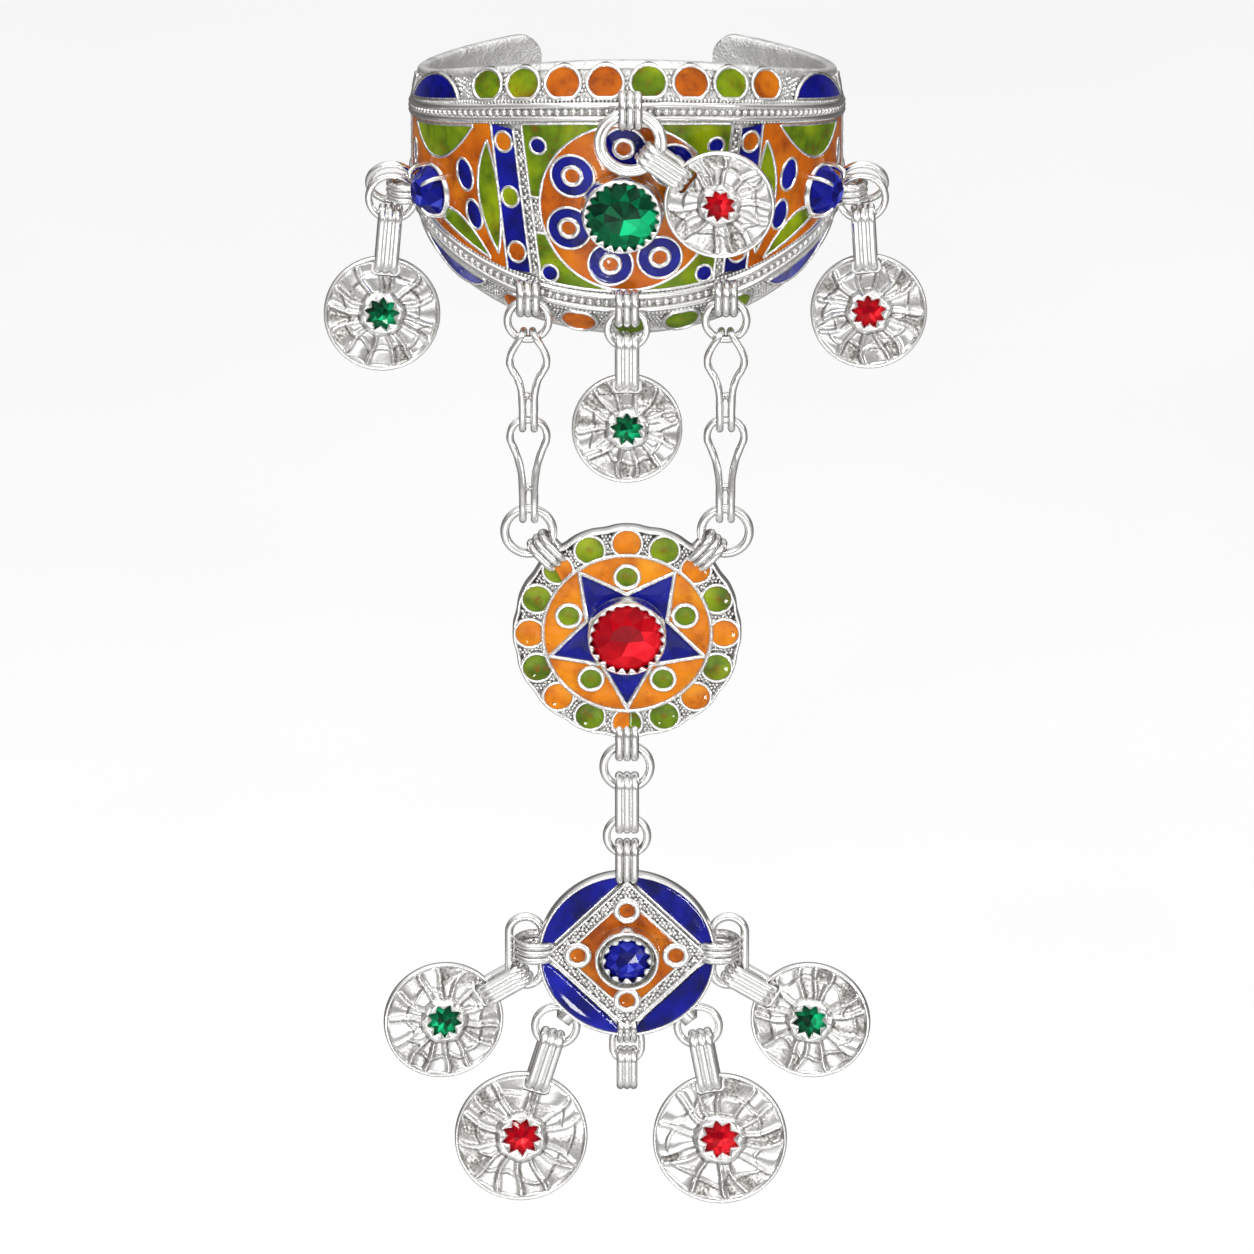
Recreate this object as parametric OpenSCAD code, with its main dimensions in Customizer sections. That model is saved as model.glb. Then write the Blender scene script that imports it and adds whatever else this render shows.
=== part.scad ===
// Enamelled hand bracelet: an open cuff, a round medallion and a finger-ring plate
// joined by links, with eight coin drops. It hangs as worn, the fingers pointing down.
// The origin is the centre of the wrist opening, +Z up the arm, -Y the show side.

/* [Cuff] */
// Half width of the cuff's wall, side to side
cuff_a = 31.9; // [31:0.1:33]
// Half depth of the cuff's wall, front to back
cuff_b = 28.6; // [28:0.1:29]
// Thickness of the cuff's sheet
wall = 1.2; // [0.9:0.1:1.6]
// Half height of the cuff at the front
front_h = 21.8; // [21:0.1:23]
// Half height of the cuff's two back ends
end_h = 7.6; // [6:0.1:9]
// Angle from the front to each back end
end_angle = 155; // [150:1:158]
// Height of the beaded bands' middle at the front
band_z = 15.3; // [15:0.1:15.6]
// How far a beaded band stands proud
band_rise = 1.1; // [0.8:0.1:1.3]
// How far the rim strips lean inwards at the front
lean = 3.7; // [3:0.1:4.2]
// Radius of the round panel at the front
roundel_r = 13.2; // [12.8:0.1:13.3]

/* [Medallion and ring plate] */
// Radius of the medallion
medal_r = 17.3; // [17:0.1:17.4]
// Height of the medallion's centre
medal_z = -68.9; // [-69:0.1:-68.8]
// Radius of the ring plate
plate_r = 13.6; // [13.4:0.1:13.7]
// Height of the ring plate's centre
plate_z = -122.3; // [-122.4:0.1:-122.2]
// Thickness of both plates
plate_t = 1.6; // [1.4:0.1:1.8]
// Inner radius of the finger shank
finger_r = 8.6; // [7.5:0.1:9.5]

/* [Links] */
// Wire radius of a small jump ring
ring_wire = 0.6; // [0.5:0.05:0.65]
// Wire radius of the triple links and bails
link_wire = 0.68; // [0.6:0.01:0.7]
// Bend radius of the triple links, at the middle of the wire
link_bend = 1.6; // [1.5:0.05:1.8]
// Spacing of the wires in a triple link
link_pitch = 1.16; // [1.1:0.01:1.2]
// Wire radius of the keyhole links
keyhole_wire = 0.56; // [0.45:0.01:0.58]

/* [Hidden] */
$fn = 32;

silver = "silver";
blue = "mediumblue";
green = "olivedrab";
orange = "darkorange";
emerald = "seagreen";
ruby = "crimson";

// Depths of the hanging pieces: chain, centre and top drops, side drops, ring plate's drops
chain_y = -27.8;
front_y = -31.4;
side_y = -8.5;
behind_y = chain_y + 1.5;
// Where the beaded bands run out, and their height there
band_end = 105;
band_low = 4.4;
// Enamel lies from enamel_low to enamel_top above its ground, wires up to cloison_top
enamel_low = 0.14;
enamel_top = 0.5;
cloison_top = 0.75;
cloison_w = 0.5;
gap = 0.12;
// Degrees of the cuff for each millimetre along its front
deg_per_mm = 1 / (cuff_a * PI / 180);

// Height of the rim above the cuff's middle plane, before the corners of the ends are rounded
function rim_z(t) = end_h + (front_h - end_h) * pow((1 + cos(t * 180 / end_angle)) / 2, 1.3);
// Middle, half width and rise of the beaded bands
function band_mid(t) =
    band_low + (band_z - band_low) * pow(cos(min(abs(t), band_end) * 90 / band_end), 1.5);
function band_half(t) = 1.33 + 0.57 * cos(t);
function band_up(t) = band_rise * max(0, min(1, (band_end - abs(t)) / 10));
function field_z(t) = band_mid(t) - band_half(t);
function strip_z(t) = band_mid(t) + band_half(t);
function strip_lean(t) = lean * pow((1 + cos(t * 180 / end_angle)) / 2, 1.5);
// How far the wall is drawn in at height z, and the slope of the leaning strip there
function drawn_in(t, z) =
    strip_lean(t) * max(0, abs(z) - strip_z(t)) / (rim_z(t) - strip_z(t));
function slope(t, z) = abs(z) > strip_z(t) ? atan(strip_lean(t) / (rim_z(t) - strip_z(t))) : 0;
// Outward normal of the oval, and a point of the cuff's face lifted by d
function normal(t) = let (n = [cuff_b * sin(t), -cuff_a * cos(t), 0]) n / norm(n);
function on_cuff(t, z, d = 0) =
    [cuff_a * sin(t), -cuff_b * cos(t), z] + normal(t) * (d - drawn_in(t, z));
// Shrinks the height over the last millimetres, so that the ends have round corners
corner_r = 3.6;
function end_scale(t) = let (s = (end_angle - abs(t)) / deg_per_mm / 1.05, r = corner_r)
    s >= r ? 1 : 1 - (r - sqrt(max(0, r * r - (r - s) * (r - s)))) / rim_z(t);

// Closed section of the wall at angle t: outside from bottom to top, then inside down again
rim_bead = 0.4;
function half_section(t) = let (m = band_mid(t), h = band_half(t), up = band_up(t), r = rim_z(t),
        bead = abs(t) > end_angle - 6 ? 0.1 : rim_bead)
    [[m - h, 0], [m - 0.6 * h, up], [m + 0.6 * h, up], [m + h, 0],
     [r - 0.9, 0.05], [r - 0.6, bead], [r, bead * 0.8]];
function wall_ring(t) = let (half = half_section(t), n = len(half), k = end_scale(t),
        inner = [rim_z(t), strip_z(t), -strip_z(t), -rim_z(t)])
    concat(
        [for (i = [n - 1:-1:0]) on_cuff(t, -half[i][0] * k, half[i][1])],
        [for (i = [0:n - 1]) on_cuff(t, half[i][0] * k, half[i][1])],
        [for (z = inner) on_cuff(t, z * k, -wall)]);
step = 6.25;
half_stations = concat([for (t = [0:step:end_angle - 8]) t],
    [end_angle - 5, end_angle - 3, end_angle - 1.2, end_angle - 0.2]);
stations = concat([for (i = [len(half_stations) - 1:-1:1]) -half_stations[i]], half_stations);

// Skin of a run of rings with m points each: closed into a loop, or capped at both ends.
// The faces are turned over where the first ring runs the other way about its path.
function total(list) = [for (q = list) 1] * list;
function turn_of(ring) =
    total([for (j = [1:len(ring) - 2]) cross(ring[j] - ring[0], ring[j + 1] - ring[0])]);
module skin(rings, closed = false) {
    n = len(rings);
    m = len(rings[0]);
    last = closed ? n - 1 : n - 2;
    over = turn_of(rings[0]) * (total(rings[1]) - total(rings[0])) > 0;
    sides = [for (i = [0:last], j = [0:m - 1])
        let (a = i * m + j, b = i * m + (j + 1) % m,
            c = ((i + 1) % n) * m + (j + 1) % m, d = ((i + 1) % n) * m + j)
        each [[a, b, c], [a, c, d]]];
    // The two ends are closed by fans about their middles
    points = concat([for (r = rings) each r], [total(rings[0]) / m, total(rings[n - 1]) / m]);
    caps = closed ? [] : [for (j = [0:m - 1]) let (k = (j + 1) % m)
        each [[n * m, k, j], [n * m + 1, (n - 1) * m + j, (n - 1) * m + k]]];
    faces = concat(sides, caps);
    polyhedron(closed ? [for (r = rings) each r] : points,
        over ? [for (f = faces) [for (j = [len(f) - 1:-1:0]) f[j]]] : faces, convexity = 8);
}

// Raised wire along a path of [angle, height] points on the cuff
function unit(v) = v / norm(v);
module cuff_wire(path, closed = true, w = cloison_w, low = -0.2, top = cloison_top) {
    n = len(path);
    p = [for (q = path) on_cuff(q[0], q[1])];
    skin([for (i = [0:n - 1])
        let (before = closed ? p[(i + n - 1) % n] : p[max(0, i - 1)],
            after = closed ? p[(i + 1) % n] : p[min(n - 1, i + 1)],
            up = normal(path[i][0]),
            side = unit(cross(unit(after - before), up)) * w / 2)
        [p[i] + side + up * low, p[i] + up * top, p[i] - side + up * low]], closed);
}

// Slab on the cuff between two edges, given as pairs of [angle, height] points
module cuff_slab(pairs, low = enamel_low, top = enamel_top) {
    skin([for (q = pairs)
        [on_cuff(q[0][0], q[0][1], low), on_cuff(q[0][0], q[0][1], top),
         on_cuff(q[1][0], q[1][1], top), on_cuff(q[1][0], q[1][1], low)]]);
}
function outline(pairs) = concat([for (q = pairs) q[0]],
    [for (i = [len(pairs) - 1:-1:0]) if (norm(pairs[i][1] - pairs[i][0]) > 0.3) pairs[i][1]]);

// Puts a flat piece on the cuff at an angle and height, its Z axis along the face's normal
module on_face(t, z) {
    translate(on_cuff(t, z))
        rotate([0, 0, atan2(normal(t)[0], -normal(t)[1])])
            rotate([90 - sign(z) * slope(t, z), 0, 0])
                children();
}

// Cells of the left half; the right half repeats them. Each is a list of pairs of points.
// An upright lens bulges out to both sides of its axis
function upright_lens(t0, t1, z0, z1, out, in, n = 8) = [for (i = [0:n])
    let (f = i / n, t = t0 + (t1 - t0) * f, b = max(0.02, 1 - pow(2 * f - 1, 2)))
    [[t - out * b, z0 + (z1 - z0) * f], [t + in * b, z0 + (z1 - z0) * f]]];
side_from = -73;
half_moon = [for (i = [0:8]) let (t = side_from + i * 3.2, f = i / 8)
    [[t, field_z(t) - 0.3 - 5.2 * max(0.02, 1 - pow(2 * f - 1, 2))], [t, field_z(t) - 0.3]]];
low_leaf = [for (i = [0:8]) let (t = -62 + i * 2.9, f = i / 8,
        z = -field_z(t) + 0.4 + 1.5 * (1 - f))
    [[t, z], [t, z + 3.2 * max(0.02, 1 - pow(2 * f - 1, 2))]]];
tall_leaf = upright_lens(-36.2, -40.2, -9.4, 8.2, 3.6, 2.2);
upper_petal = [-48.4, 1.6];
lower_petal = [-44.8, -4.3];
edge_petal = [-78, 0.2];
// The blue stripe leans towards the middle on its way down
function stripe_t(z) = -32.6 + z * -0.24;
stripe_half = 3.2;
function stripe_end(s) = s * (field_z(abs(stripe_t(s * 11)) + stripe_half) - 0.35);
stripe = [for (i = [0:6]) let (z = stripe_end(-1) + (stripe_end(1) - stripe_end(-1)) * i / 6)
    [[stripe_t(z) - stripe_half, z], [stripe_t(z) + stripe_half, z]]];
stripe_dots = [8.6, 0, -8.6];
// Granulated strip beside it
grain_t = 5.3;
grain_half = 1.3;
grain_strip = [for (q = stripe) let (t = (q[0][0] + q[1][0]) / 2 + grain_t, z = q[0][1])
    [[t - grain_half, z], [t + grain_half, z]]];
// Green corners between the round panel and the granulated strip, top and bottom
function roundel_z(t, r) = let (s = t / deg_per_mm) sqrt(max(0, r * r - s * s));
function grain_edge(z) = stripe_t(z) + grain_t + grain_half + 0.5;
function corner_cell(s) = [for (i = [0:8])
    let (t = grain_edge(s > 0 ? 10.8 : 0) + 0.3 + i * (s > 0 ? 1.9 : 1.58),
        strip_at = (grain_edge(0) - t) / 0.24,
        z_in = max(roundel_z(t, roundel_r + 0.4), s > 0 ? strip_at : 0),
        z_out = min(field_z(t) - 0.35, s > 0 ? 99 : -strip_at))
    [[t, s * z_in], [t, s * max(z_in + 0.05, z_out)]]];
corner_dots = [[-24.2, 8.9], [-20.8, -11.2]];
// Blue half ovals on the rim strips
rim_leaf = [for (i = [0:8]) let (t = -84.3 + i * 4.1, f = i / 8, z = strip_z(t) + 0.42)
    [[t, z], [t, z + (rim_z(t) - z - 1.4) * max(0.02, 1 - pow(2 * f - 1, 2))]]];
rim_disc_t = [-42, -30, -18, -6, 6, 18, 30, 42];
function strip_mid(t) = (strip_z(t) + rim_z(t) - 0.8) / 2;
function disc_r(t) = min(2.3, ((rim_z(t) - 0.9 - strip_z(t)) / 2 - 0.32) / cos(slope(t, 99)));
function turned(pairs) = [for (q = pairs) [[q[0][0], -q[0][1]], [q[1][0], -q[1][1]]]];
left_cells = [half_moon, low_leaf, tall_leaf];

// Blue rings of the round panel
eye_n = 7;
eye_at = 8.7;
eye_r = 3.3;
eye_dot = 1.05;
function eye_t(i) = eye_at * sin(i * 360 / eye_n) * deg_per_mm;
function eye_z(i) = eye_at * cos(i * 360 / eye_n);
// Centre stone and side stones
centre_stone_r = 5.4;
centre_t = -1.2;
centre_z = -0.6;
side_stone_t = 63;
side_stone_z = -3.2;
side_stone_r = 3.3;
mount_h = 2.3;

module both_sides() {
    children();
    mirror([1, 0, 0]) children();
}

module wire_hoop(r, n = 12, w = 0.6) {
    translate([0, 0, -0.25])
        rotate_extrude($fn = n)
            polygon([[r - w / 2, 0], [r + w / 2, 0], [r, cloison_top + 0.25]]);
}

// Bezel with teeth bent over the stone: r is the stone's radius
module toothed_rim(r, n, h, thick = 0.45) {
    teeth = [for (i = [0:2 * n - 1]) let (q = i % 2 == 0 ? r - 0.75 : r + 0.08)
        [q * cos(i * 180 / n), q * sin(i * 180 / n)]];
    difference() {
        cylinder(h = h, r = r + 0.6, $fn = 2 * n);
        translate([0, 0, -1])
            cylinder(h = h + 1 - thick, r = r + 0.15, $fn = 2 * n);
        translate([0, 0, -2])
            linear_extrude(h + 4)
                polygon(teeth);
    }
}

// Three wires side by side, bent to a long loop: length along Z, depth along Y
module triple_loop(length, bend = link_bend, pitch = link_pitch, wire = link_wire,
        turns = $fn, sides = $fn) {
    straight = length - 2 * (bend + wire);
    for (s = [0, 1])
        rotate([180 * s, 0, 0]) {
            translate([0, 0, straight / 2])
                rotate([0, 90, 0])
                    rotate_extrude(angle = 180, start = 90, $fn = turns)
                        wire_row(bend, pitch, wire, sides);
            translate([0, 0, -straight / 2])
                linear_extrude(straight)
                    rotate([0, 0, 90])
                        wire_row(bend, pitch, wire, sides);
        }
}
module wire_row(at, pitch, wire, sides) {
    for (i = [-1, 0, 1])
        translate([at, i * pitch])
            circle(wire, $fn = sides);
}
// The narrow kind, for the side bails and below the ring plate
slim_pitch = 1.0;
slim_wire = 0.6;

module bail(x, y, z, length, ang = 0, bend = link_bend, pitch = link_pitch, wire = link_wire,
        turns = $fn, sides = $fn) {
    translate([x, y, z])
        rotate([0, ang, 0])
            triple_loop(length, bend, pitch, wire, turns, sides);
}

// Distance from a ring's centre to the outer end of the triple link that hangs in it
function bite(ring_r, wire = ring_wire, pitch = link_pitch, link = link_wire) =
    sqrt(pow(ring_r - wire, 2) - pow(pitch + link - 0.35, 2)) - gap - 2 * link;

// Jump rings: radius at the middle of the wire
small_ring = 3.1;
centre_ring = 2.95;
top_ring = 4.2;
side_ring = 3.5;
side_wire = 0.55;
medal_ring = 3.62;
medal_wire = 0.68;
middle_ring = 3.55;
middle_wire = 0.65;
oval_bend = 2.5;
oval_half = 3.2;
low_ring = 3.2;
bottom_bend = 2.25;
bottom_half = 0.6;
bottom_wire = 0.5;
bottom_hold = bite(bottom_bend, bottom_wire, slim_pitch, slim_wire);

// Places of the rings' centres
chain_x = 14.8;
chain_ring_z = -18.5;
keyhole_a = 12.7;
keyhole_b = 14.8;
keyhole_a_z = chain_ring_z - small_ring;
keyhole_b_z = keyhole_a_z - keyhole_a;
medal_ring_z = keyhole_b_z - keyhole_b - medal_ring;
side_x = 35.4;
side_bail_z = -5;
side_rise = 1.08;
side_apart = 0.66;
// The upper side ring leans back below, behind the link of the lower one
side_lean = 20;
middle_ring_z = [-91.4, -102.9];
top_ring_at = [0.5, 11.4];
centre_ring_at = [0, -18.6];
oval_at = [15.5, -122.8];
low_ring_at = [10.9, -135.4];
bottom_ring_z = -138.4;

module cuff() color(silver) {
    skin([for (t = stations) wall_ring(t)]);
    cuff_wires();
    cuff_mounts();
    cuff_bails();
}

module cuff_wires() {
    both_sides() {
        for (c = left_cells)
            cuff_wire(outline(c));
        cuff_wire([for (q = stripe) q[0]], false);
        cuff_wire([for (q = stripe) q[1]], false);
        cuff_slab(grain_strip, -0.2, cloison_top);
        for (z = stripe_dots)
            on_face(stripe_t(z), z)
                wire_hoop(1.4, 8);
        petal_wire(upper_petal, 1.6, 2.4);
        petal_wire(lower_petal, 1.4, 2.2);
        petal_wire(edge_petal, 0.8, 2);
    }
    cuff_wire([for (a = [0:10:350]) [roundel_r * sin(a) * deg_per_mm, roundel_r * cos(a)]]);
    for (i = [0:eye_n - 1])
        on_face(eye_t(i), eye_z(i))
            wire_hoop(eye_r + 0.25);
}
function petal_path(at, w, h, n = 10) = [for (i = [0:n - 1]) let (a = i * 360 / n)
    [at[0] + w * sin(a) * deg_per_mm * 1.2, at[1] + h * cos(a)]];
module petal_wire(at, w, h) {
    cuff_wire(petal_path(at, w, h));
}

module cuff_mounts() {
    on_face(centre_t, centre_z)
        difference() {
            translate([0, 0, -0.5])
                cylinder(h = 3.6, r = centre_stone_r + 0.7, $fn = 18);
            translate([0, 0, 0.9])
                cylinder(h = 1.8, r = centre_stone_r + 0.15, $fn = 18);
            translate([0, 0, 0.9])
                cylinder(h = 4, r = centre_stone_r - 0.4, $fn = 18);
        }
    for (s = [-1, 1])
        on_face(s * side_stone_t, side_stone_z) {
            difference() {
                translate([0, 0, -0.9])
                    cylinder(h = 1.9, r = side_stone_r + 0.9, $fn = 16);
                translate([0, 0, 0.6])
                    cylinder(h = 2, r = side_stone_r + 0.2, $fn = 16);
            }
            for (a = [45:90:315])
                rotate([0, 0, a])
                    prong();
        }
}
// Claw that rises beside a side stone and bends over its edge
module prong() {
    hull() {
        translate([side_stone_r + 0.5, 0, 0.3])
            cylinder(h = 0.1, r = 0.4, $fn = 6);
        translate([side_stone_r + 0.5, 0, mount_h])
            cylinder(h = 0.3, r1 = 0.38, r2 = 0.25, $fn = 6);
    }
    hull() {
        translate([side_stone_r + 0.5, 0, mount_h])
            cylinder(h = 0.3, r1 = 0.38, r2 = 0.25, $fn = 6);
        translate([side_stone_r - 0.7, 0, mount_h + 0.6])
            cylinder(h = 0.3, r1 = 0.35, r2 = 0.25, $fn = 6);
    }
}

module cuff_bails() {
    top_len = 6.2;
    bail(top_ring_at[0], front_y, top_ring_at[1] + bite(top_ring) + top_len / 2, top_len,
        turns = 10, sides = 6);
    low_len = 5.9;
    bail(0, front_y + 0.2, centre_ring_at[1] + bite(centre_ring) + low_len / 2, low_len,
        turns = 10, sides = 6);
    for (s = [-1, 1])
        bail(s * chain_x, chain_y, chain_ring_z + bite(small_ring) + low_len / 2, low_len,
            turns = 10, sides = 6);
    side_len = 6.6;
    for (s = [-1, 1])
        bail(s * (side_x + 0.9 - side_len / 2), side_y, side_bail_z, side_len, 90, 2.25,
            slim_pitch, slim_wire, 10, 6);
    // Solder inside the root of each side bail
    for (s = [-1, 1])
        translate([s * 30.2, side_y - 0.4, side_bail_z])
            cube([1.5, 3.4, 3.9], center = true);
}

// Edges of a cell moved apart by some millimetres, or together where it is negative
function spread(pairs, by) = [for (q = pairs)
    let (v = q[1] - q[0], size = max(0.01, norm([v[0] / deg_per_mm, v[1]])),
        u = v * max(by / size, -0.45)) [q[0] - u, q[1] + u]];
function inner(pairs) = [for (i = [1:len(pairs) - 2]) pairs[i]];
// Solid that takes a cell and its wire out of the enamel ground around it
function beyond(a, b) = let (mid = (a[0] + a[1]) / 2, way = mid - (b[0] + b[1]) / 2,
        on = way * 0.5 / norm([way[0] / deg_per_mm, way[1]]), half = (a[1] - a[0]) / 2)
    [mid + on - half, mid + on + half];
module cell_cut(pairs) {
    n = len(pairs) - 1;
    cuff_slab(spread(concat([beyond(pairs[0], pairs[1])], pairs, [beyond(pairs[n], pairs[n - 1])]),
        edge_in + 0.2), -1, 2);
}
module hole(t, z, r) {
    on_face(t, z)
        translate([0, 0, -2])
            cylinder(h = 5, r = r);
}
module enamel_disc(r) {
    translate([0, 0, enamel_low + 0.06])
        cylinder(h = 0.4, r1 = r, r2 = r * 0.86);
}
function petal(at, w, h, n = 6) = [for (i = [0:n]) let (a = 4 + i * 172 / n)
    [[at[0] - w * sin(a) * deg_per_mm * 1.2, at[1] + h * cos(a)],
     [at[0] + w * sin(a) * deg_per_mm * 1.2, at[1] + h * cos(a)]]];
edge_in = cloison_w / 2 + gap;

module cuff_blue_enamel() color(blue) {
    for (i = [0:eye_n - 1])
        difference() {
            on_face(eye_t(i), eye_z(i))
                difference() {
                    enamel_disc(eye_r - gap);
                    translate([0, 0, -1])
                        cylinder(h = 3, r = eye_dot + 0.8);
                }
            hole(centre_t, centre_z, centre_stone_r + 1);
        }
    both_sides() {
        difference() {
            cuff_slab(spread(stripe, -edge_in - 0.08));
            for (z = stripe_dots)
                hole(stripe_t(z), z, 1.85);
        }
        cuff_slab(petal(upper_petal, 1.6 - 0.45, 2.4 - 0.5));
        cuff_slab(petal(lower_petal, 1.4 - 0.45, 2.2 - 0.5));
        cuff_slab(petal(edge_petal, 0.8 - 0.4, 2 - 0.5, 4));
        for (d = corner_dots)
            on_face(d[0], d[1])
                enamel_disc(0.9);
        for (s = [1, -1])
            cuff_slab(spread(inner(s > 0 ? rim_leaf : turned(rim_leaf)), -edge_in));
    }
}

module cuff_green_enamel() color(green) {
    both_sides() {
        for (c = [half_moon, low_leaf])
            difference() {
                cuff_slab(spread(inner(c), -edge_in - 0.15));
                hole(-side_stone_t, side_stone_z, side_stone_r + 1.1);
            }
        cuff_slab(spread(inner(tall_leaf), -edge_in - 0.15));
        for (s = [1, -1])
            difference() {
                cuff_slab(spread(inner(corner_cell(s)), -edge_in - 0.2));
                hole(corner_dots[s > 0 ? 0 : 1][0], corner_dots[s > 0 ? 0 : 1][1], 1.3);
            }
        on_face(stripe_t(0), 0)
            enamel_disc(0.9);
    }
    rim_discs_of(0);
}
// Round cells of the rim strips, green at 0 and orange at 2
module rim_discs_of(colour) {
    for (i = [0:7], s = [1, -1])
        if (floor((i + (s > 0 ? 0 : 1) + colour) / 2) % 2 == 0)
            on_face(rim_disc_t[i], s * strip_mid(rim_disc_t[i]))
                enamel_disc(disc_r(rim_disc_t[i]));
}

module cuff_orange_enamel() color(orange) {
    n = 9;
    both_sides() {
        difference() {
            cuff_slab([for (i = [0:n]) let (t = -86 + i * 5.9)
                [[t, -field_z(t) + 0.4], [t, field_z(t) - 0.4]]]);
            for (c = left_cells)
                cell_cut(c);
            cuff_slab([for (q = stripe) [q[0] - [edge_in * 1.85, 0], q[1] + [20, 0]]], -1, 2);
            cell_cut(petal(upper_petal, 1.6, 2.4));
            cell_cut(petal(lower_petal, 1.4, 2.2));
            cell_cut(petal(edge_petal, 0.8, 2, 4));
            hole(-side_stone_t, side_stone_z, side_stone_r + 1.1);
            translate([-side_x, side_y, side_bail_z])
                cube([20, 6.2, 4.4], center = true);
        }
        for (s = [1, -1])
            on_face(stripe_t(s * stripe_dots[0]), s * stripe_dots[0])
                enamel_disc(0.9);
    }
    difference() {
        panel = roundel_r - edge_in;
        cuff_slab([for (a = [4:9.55:176]) let (t = -panel * cos(a) * deg_per_mm, z = panel * sin(a))
            [[t, -z], [t, z]]]);
        for (i = [0:eye_n - 1])
            hole(eye_t(i), eye_z(i), eye_r + 0.25 + cloison_w / 2 + gap);
        hole(centre_t, centre_z, centre_stone_r + 1);
    }
    for (i = [0:eye_n - 1])
        on_face(eye_t(i), eye_z(i))
            enamel_disc(eye_dot);
    rim_discs_of(2);
}

// Round cut stone: girdle radius r, flat table on top, back cut to a point-free pavilion
module cut_stone(r, crown, depth, n = 16) {
    hull() {
        translate([0, 0, -depth])
            cylinder(h = 0.01, r = r * 0.45, $fn = n / 2);
        translate([0, 0, -0.15])
            cylinder(h = 0.3, r = r, $fn = n);
        translate([0, 0, crown * 0.62])
            rotate([0, 0, 180 / n])
                cylinder(h = 0.01, r = r * 0.8, $fn = n / 2);
        translate([0, 0, crown])
            cylinder(h = 0.01, r = r * 0.5, $fn = n / 2);
    }
}
module cuff_green_stone() color(emerald)
    on_face(centre_t, centre_z)
        translate([0, 0, 2.25])
            cut_stone(centre_stone_r - 0.05, 1.2, 1.1);
module side_stone(s)
    on_face(s * side_stone_t, side_stone_z)
        translate([0, 0, 1.8])
            cut_stone(side_stone_r - 0.05, 1.1, 1.0, 12);
module cuff_left_stone() color(blue) side_stone(-1);
module cuff_right_stone() color(blue) side_stone(1);

// Puts a flat piece, drawn as the viewer sees it, upright at a height of the chain's plane
module hung(z) {
    translate([0, chain_y, z])
        rotate([90, 0, 0])
            children();
}
face = plate_t / 2;

// Medallion's pattern
rim_n = 16;
rim_at = 14.65;
rim_disc = 1.95;
wire_circle = 12.2;
star_r = 11.6;
star_in = 5.6;
dot_at = 8.55;
dot_r = 1.35;
red_stone_r = 5.3;
medal_bail_in = 14.4;
function star(r_out, r_in, n, turn = 90) = [for (i = [0:2 * n - 1])
    let (r = i % 2 == 0 ? r_out : r_in, a = turn + i * 180 / n) [r * cos(a), r * sin(a)]];
ring_dx = chain_x;
ring_dz = medal_ring_z - medal_z;
bail_turn = atan2(ring_dx, ring_dz);
medal_bail_out = norm([ring_dx, ring_dz]) - bite(medal_ring, medal_wire);

module medal_bails_cut() {
    for (a = [bail_turn, -bail_turn, 180])
        rotate([0, 0, -a])
            translate([-2.1, medal_bail_in - 0.4, -2])
                cube([4.2, 8, 6]);
}

module medallion() color(silver) {
    hung(medal_z) {
        translate([0, 0, -face])
            cylinder(h = plate_t, r = medal_r);
        translate([0, 0, face - 0.1])
            linear_extrude(cloison_top)
                medallion_wires();
        translate([0, 0, face - 0.1])
            difference() {
                toothed_rim(red_stone_r, 18, 3.2);
                translate([0, 0, 0.3])
                    cylinder(h = 2.44, r = red_stone_r + 0.15);
            }
    }
    len_side = medal_bail_out - medal_bail_in;
    for (s = [-1, 1])
        bail(s * (medal_bail_in + len_side / 2) * sin(bail_turn), chain_y,
            medal_z + (medal_bail_in + len_side / 2) * cos(bail_turn), len_side, s * bail_turn);
    foot = middle_ring_z[0] + bite(middle_ring, middle_wire);
    head = medal_z - medal_bail_in - 0.5;
    bail(0, chain_y, (foot + head) / 2, head - foot);
}
module medallion_wires() {
    annulus(medal_r, medal_r - 0.7);
    annulus(wire_circle + 0.3, wire_circle - 0.3);
    difference() {
        polygon(star(star_r + 0.6, star_in + 0.35, 5, -90));
        polygon(star(star_r - 0.5, star_in - 0.1, 5, -90));
    }
    for (i = [0:4])
        rotate(90 + i * 72)
            translate([dot_at, 0])
                annulus(dot_r + 0.6, dot_r);
    difference() {
        for (i = [0:rim_n - 1])
            rotate(i * 360 / rim_n)
                translate([rim_at, 0])
                    annulus(rim_disc + 0.4, rim_disc);
        circle(wire_circle);
    }
}
module annulus(r_out, r_in) {
    difference() {
        circle(r_out);
        circle(r_in);
    }
}
// Enamel over a flat pattern, lying just above the plate
module enamel_on_plate() {
    translate([0, 0, face + gap])
        linear_extrude(enamel_top - 0.1)
            children();
}
module rim_discs(odd) {
    difference() {
        for (i = [0:2:rim_n - 2])
            rotate(90 + (i + odd) * 360 / rim_n)
                translate([rim_at, 0])
                    circle(rim_disc - gap);
        circle(wire_circle + 0.3 + gap);
    }
}
module medallion_blue_enamel() color(blue)
    hung(medal_z)
        enamel_on_plate()
            difference() {
                polygon(star(star_r - 0.5 - 3 * gap, star_in - 0.1 - gap, 5, -90));
                circle(red_stone_r + 0.6 + gap);
            }
module medallion_green_enamel() color(green)
    hung(medal_z) {
        difference() {
            enamel_on_plate()
                rim_discs(1);
            medal_bails_cut();
        }
        enamel_on_plate()
            for (i = [0:4])
                rotate(90 + i * 72)
                    translate([dot_at, 0])
                        circle(dot_r - gap);
    }
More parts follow.
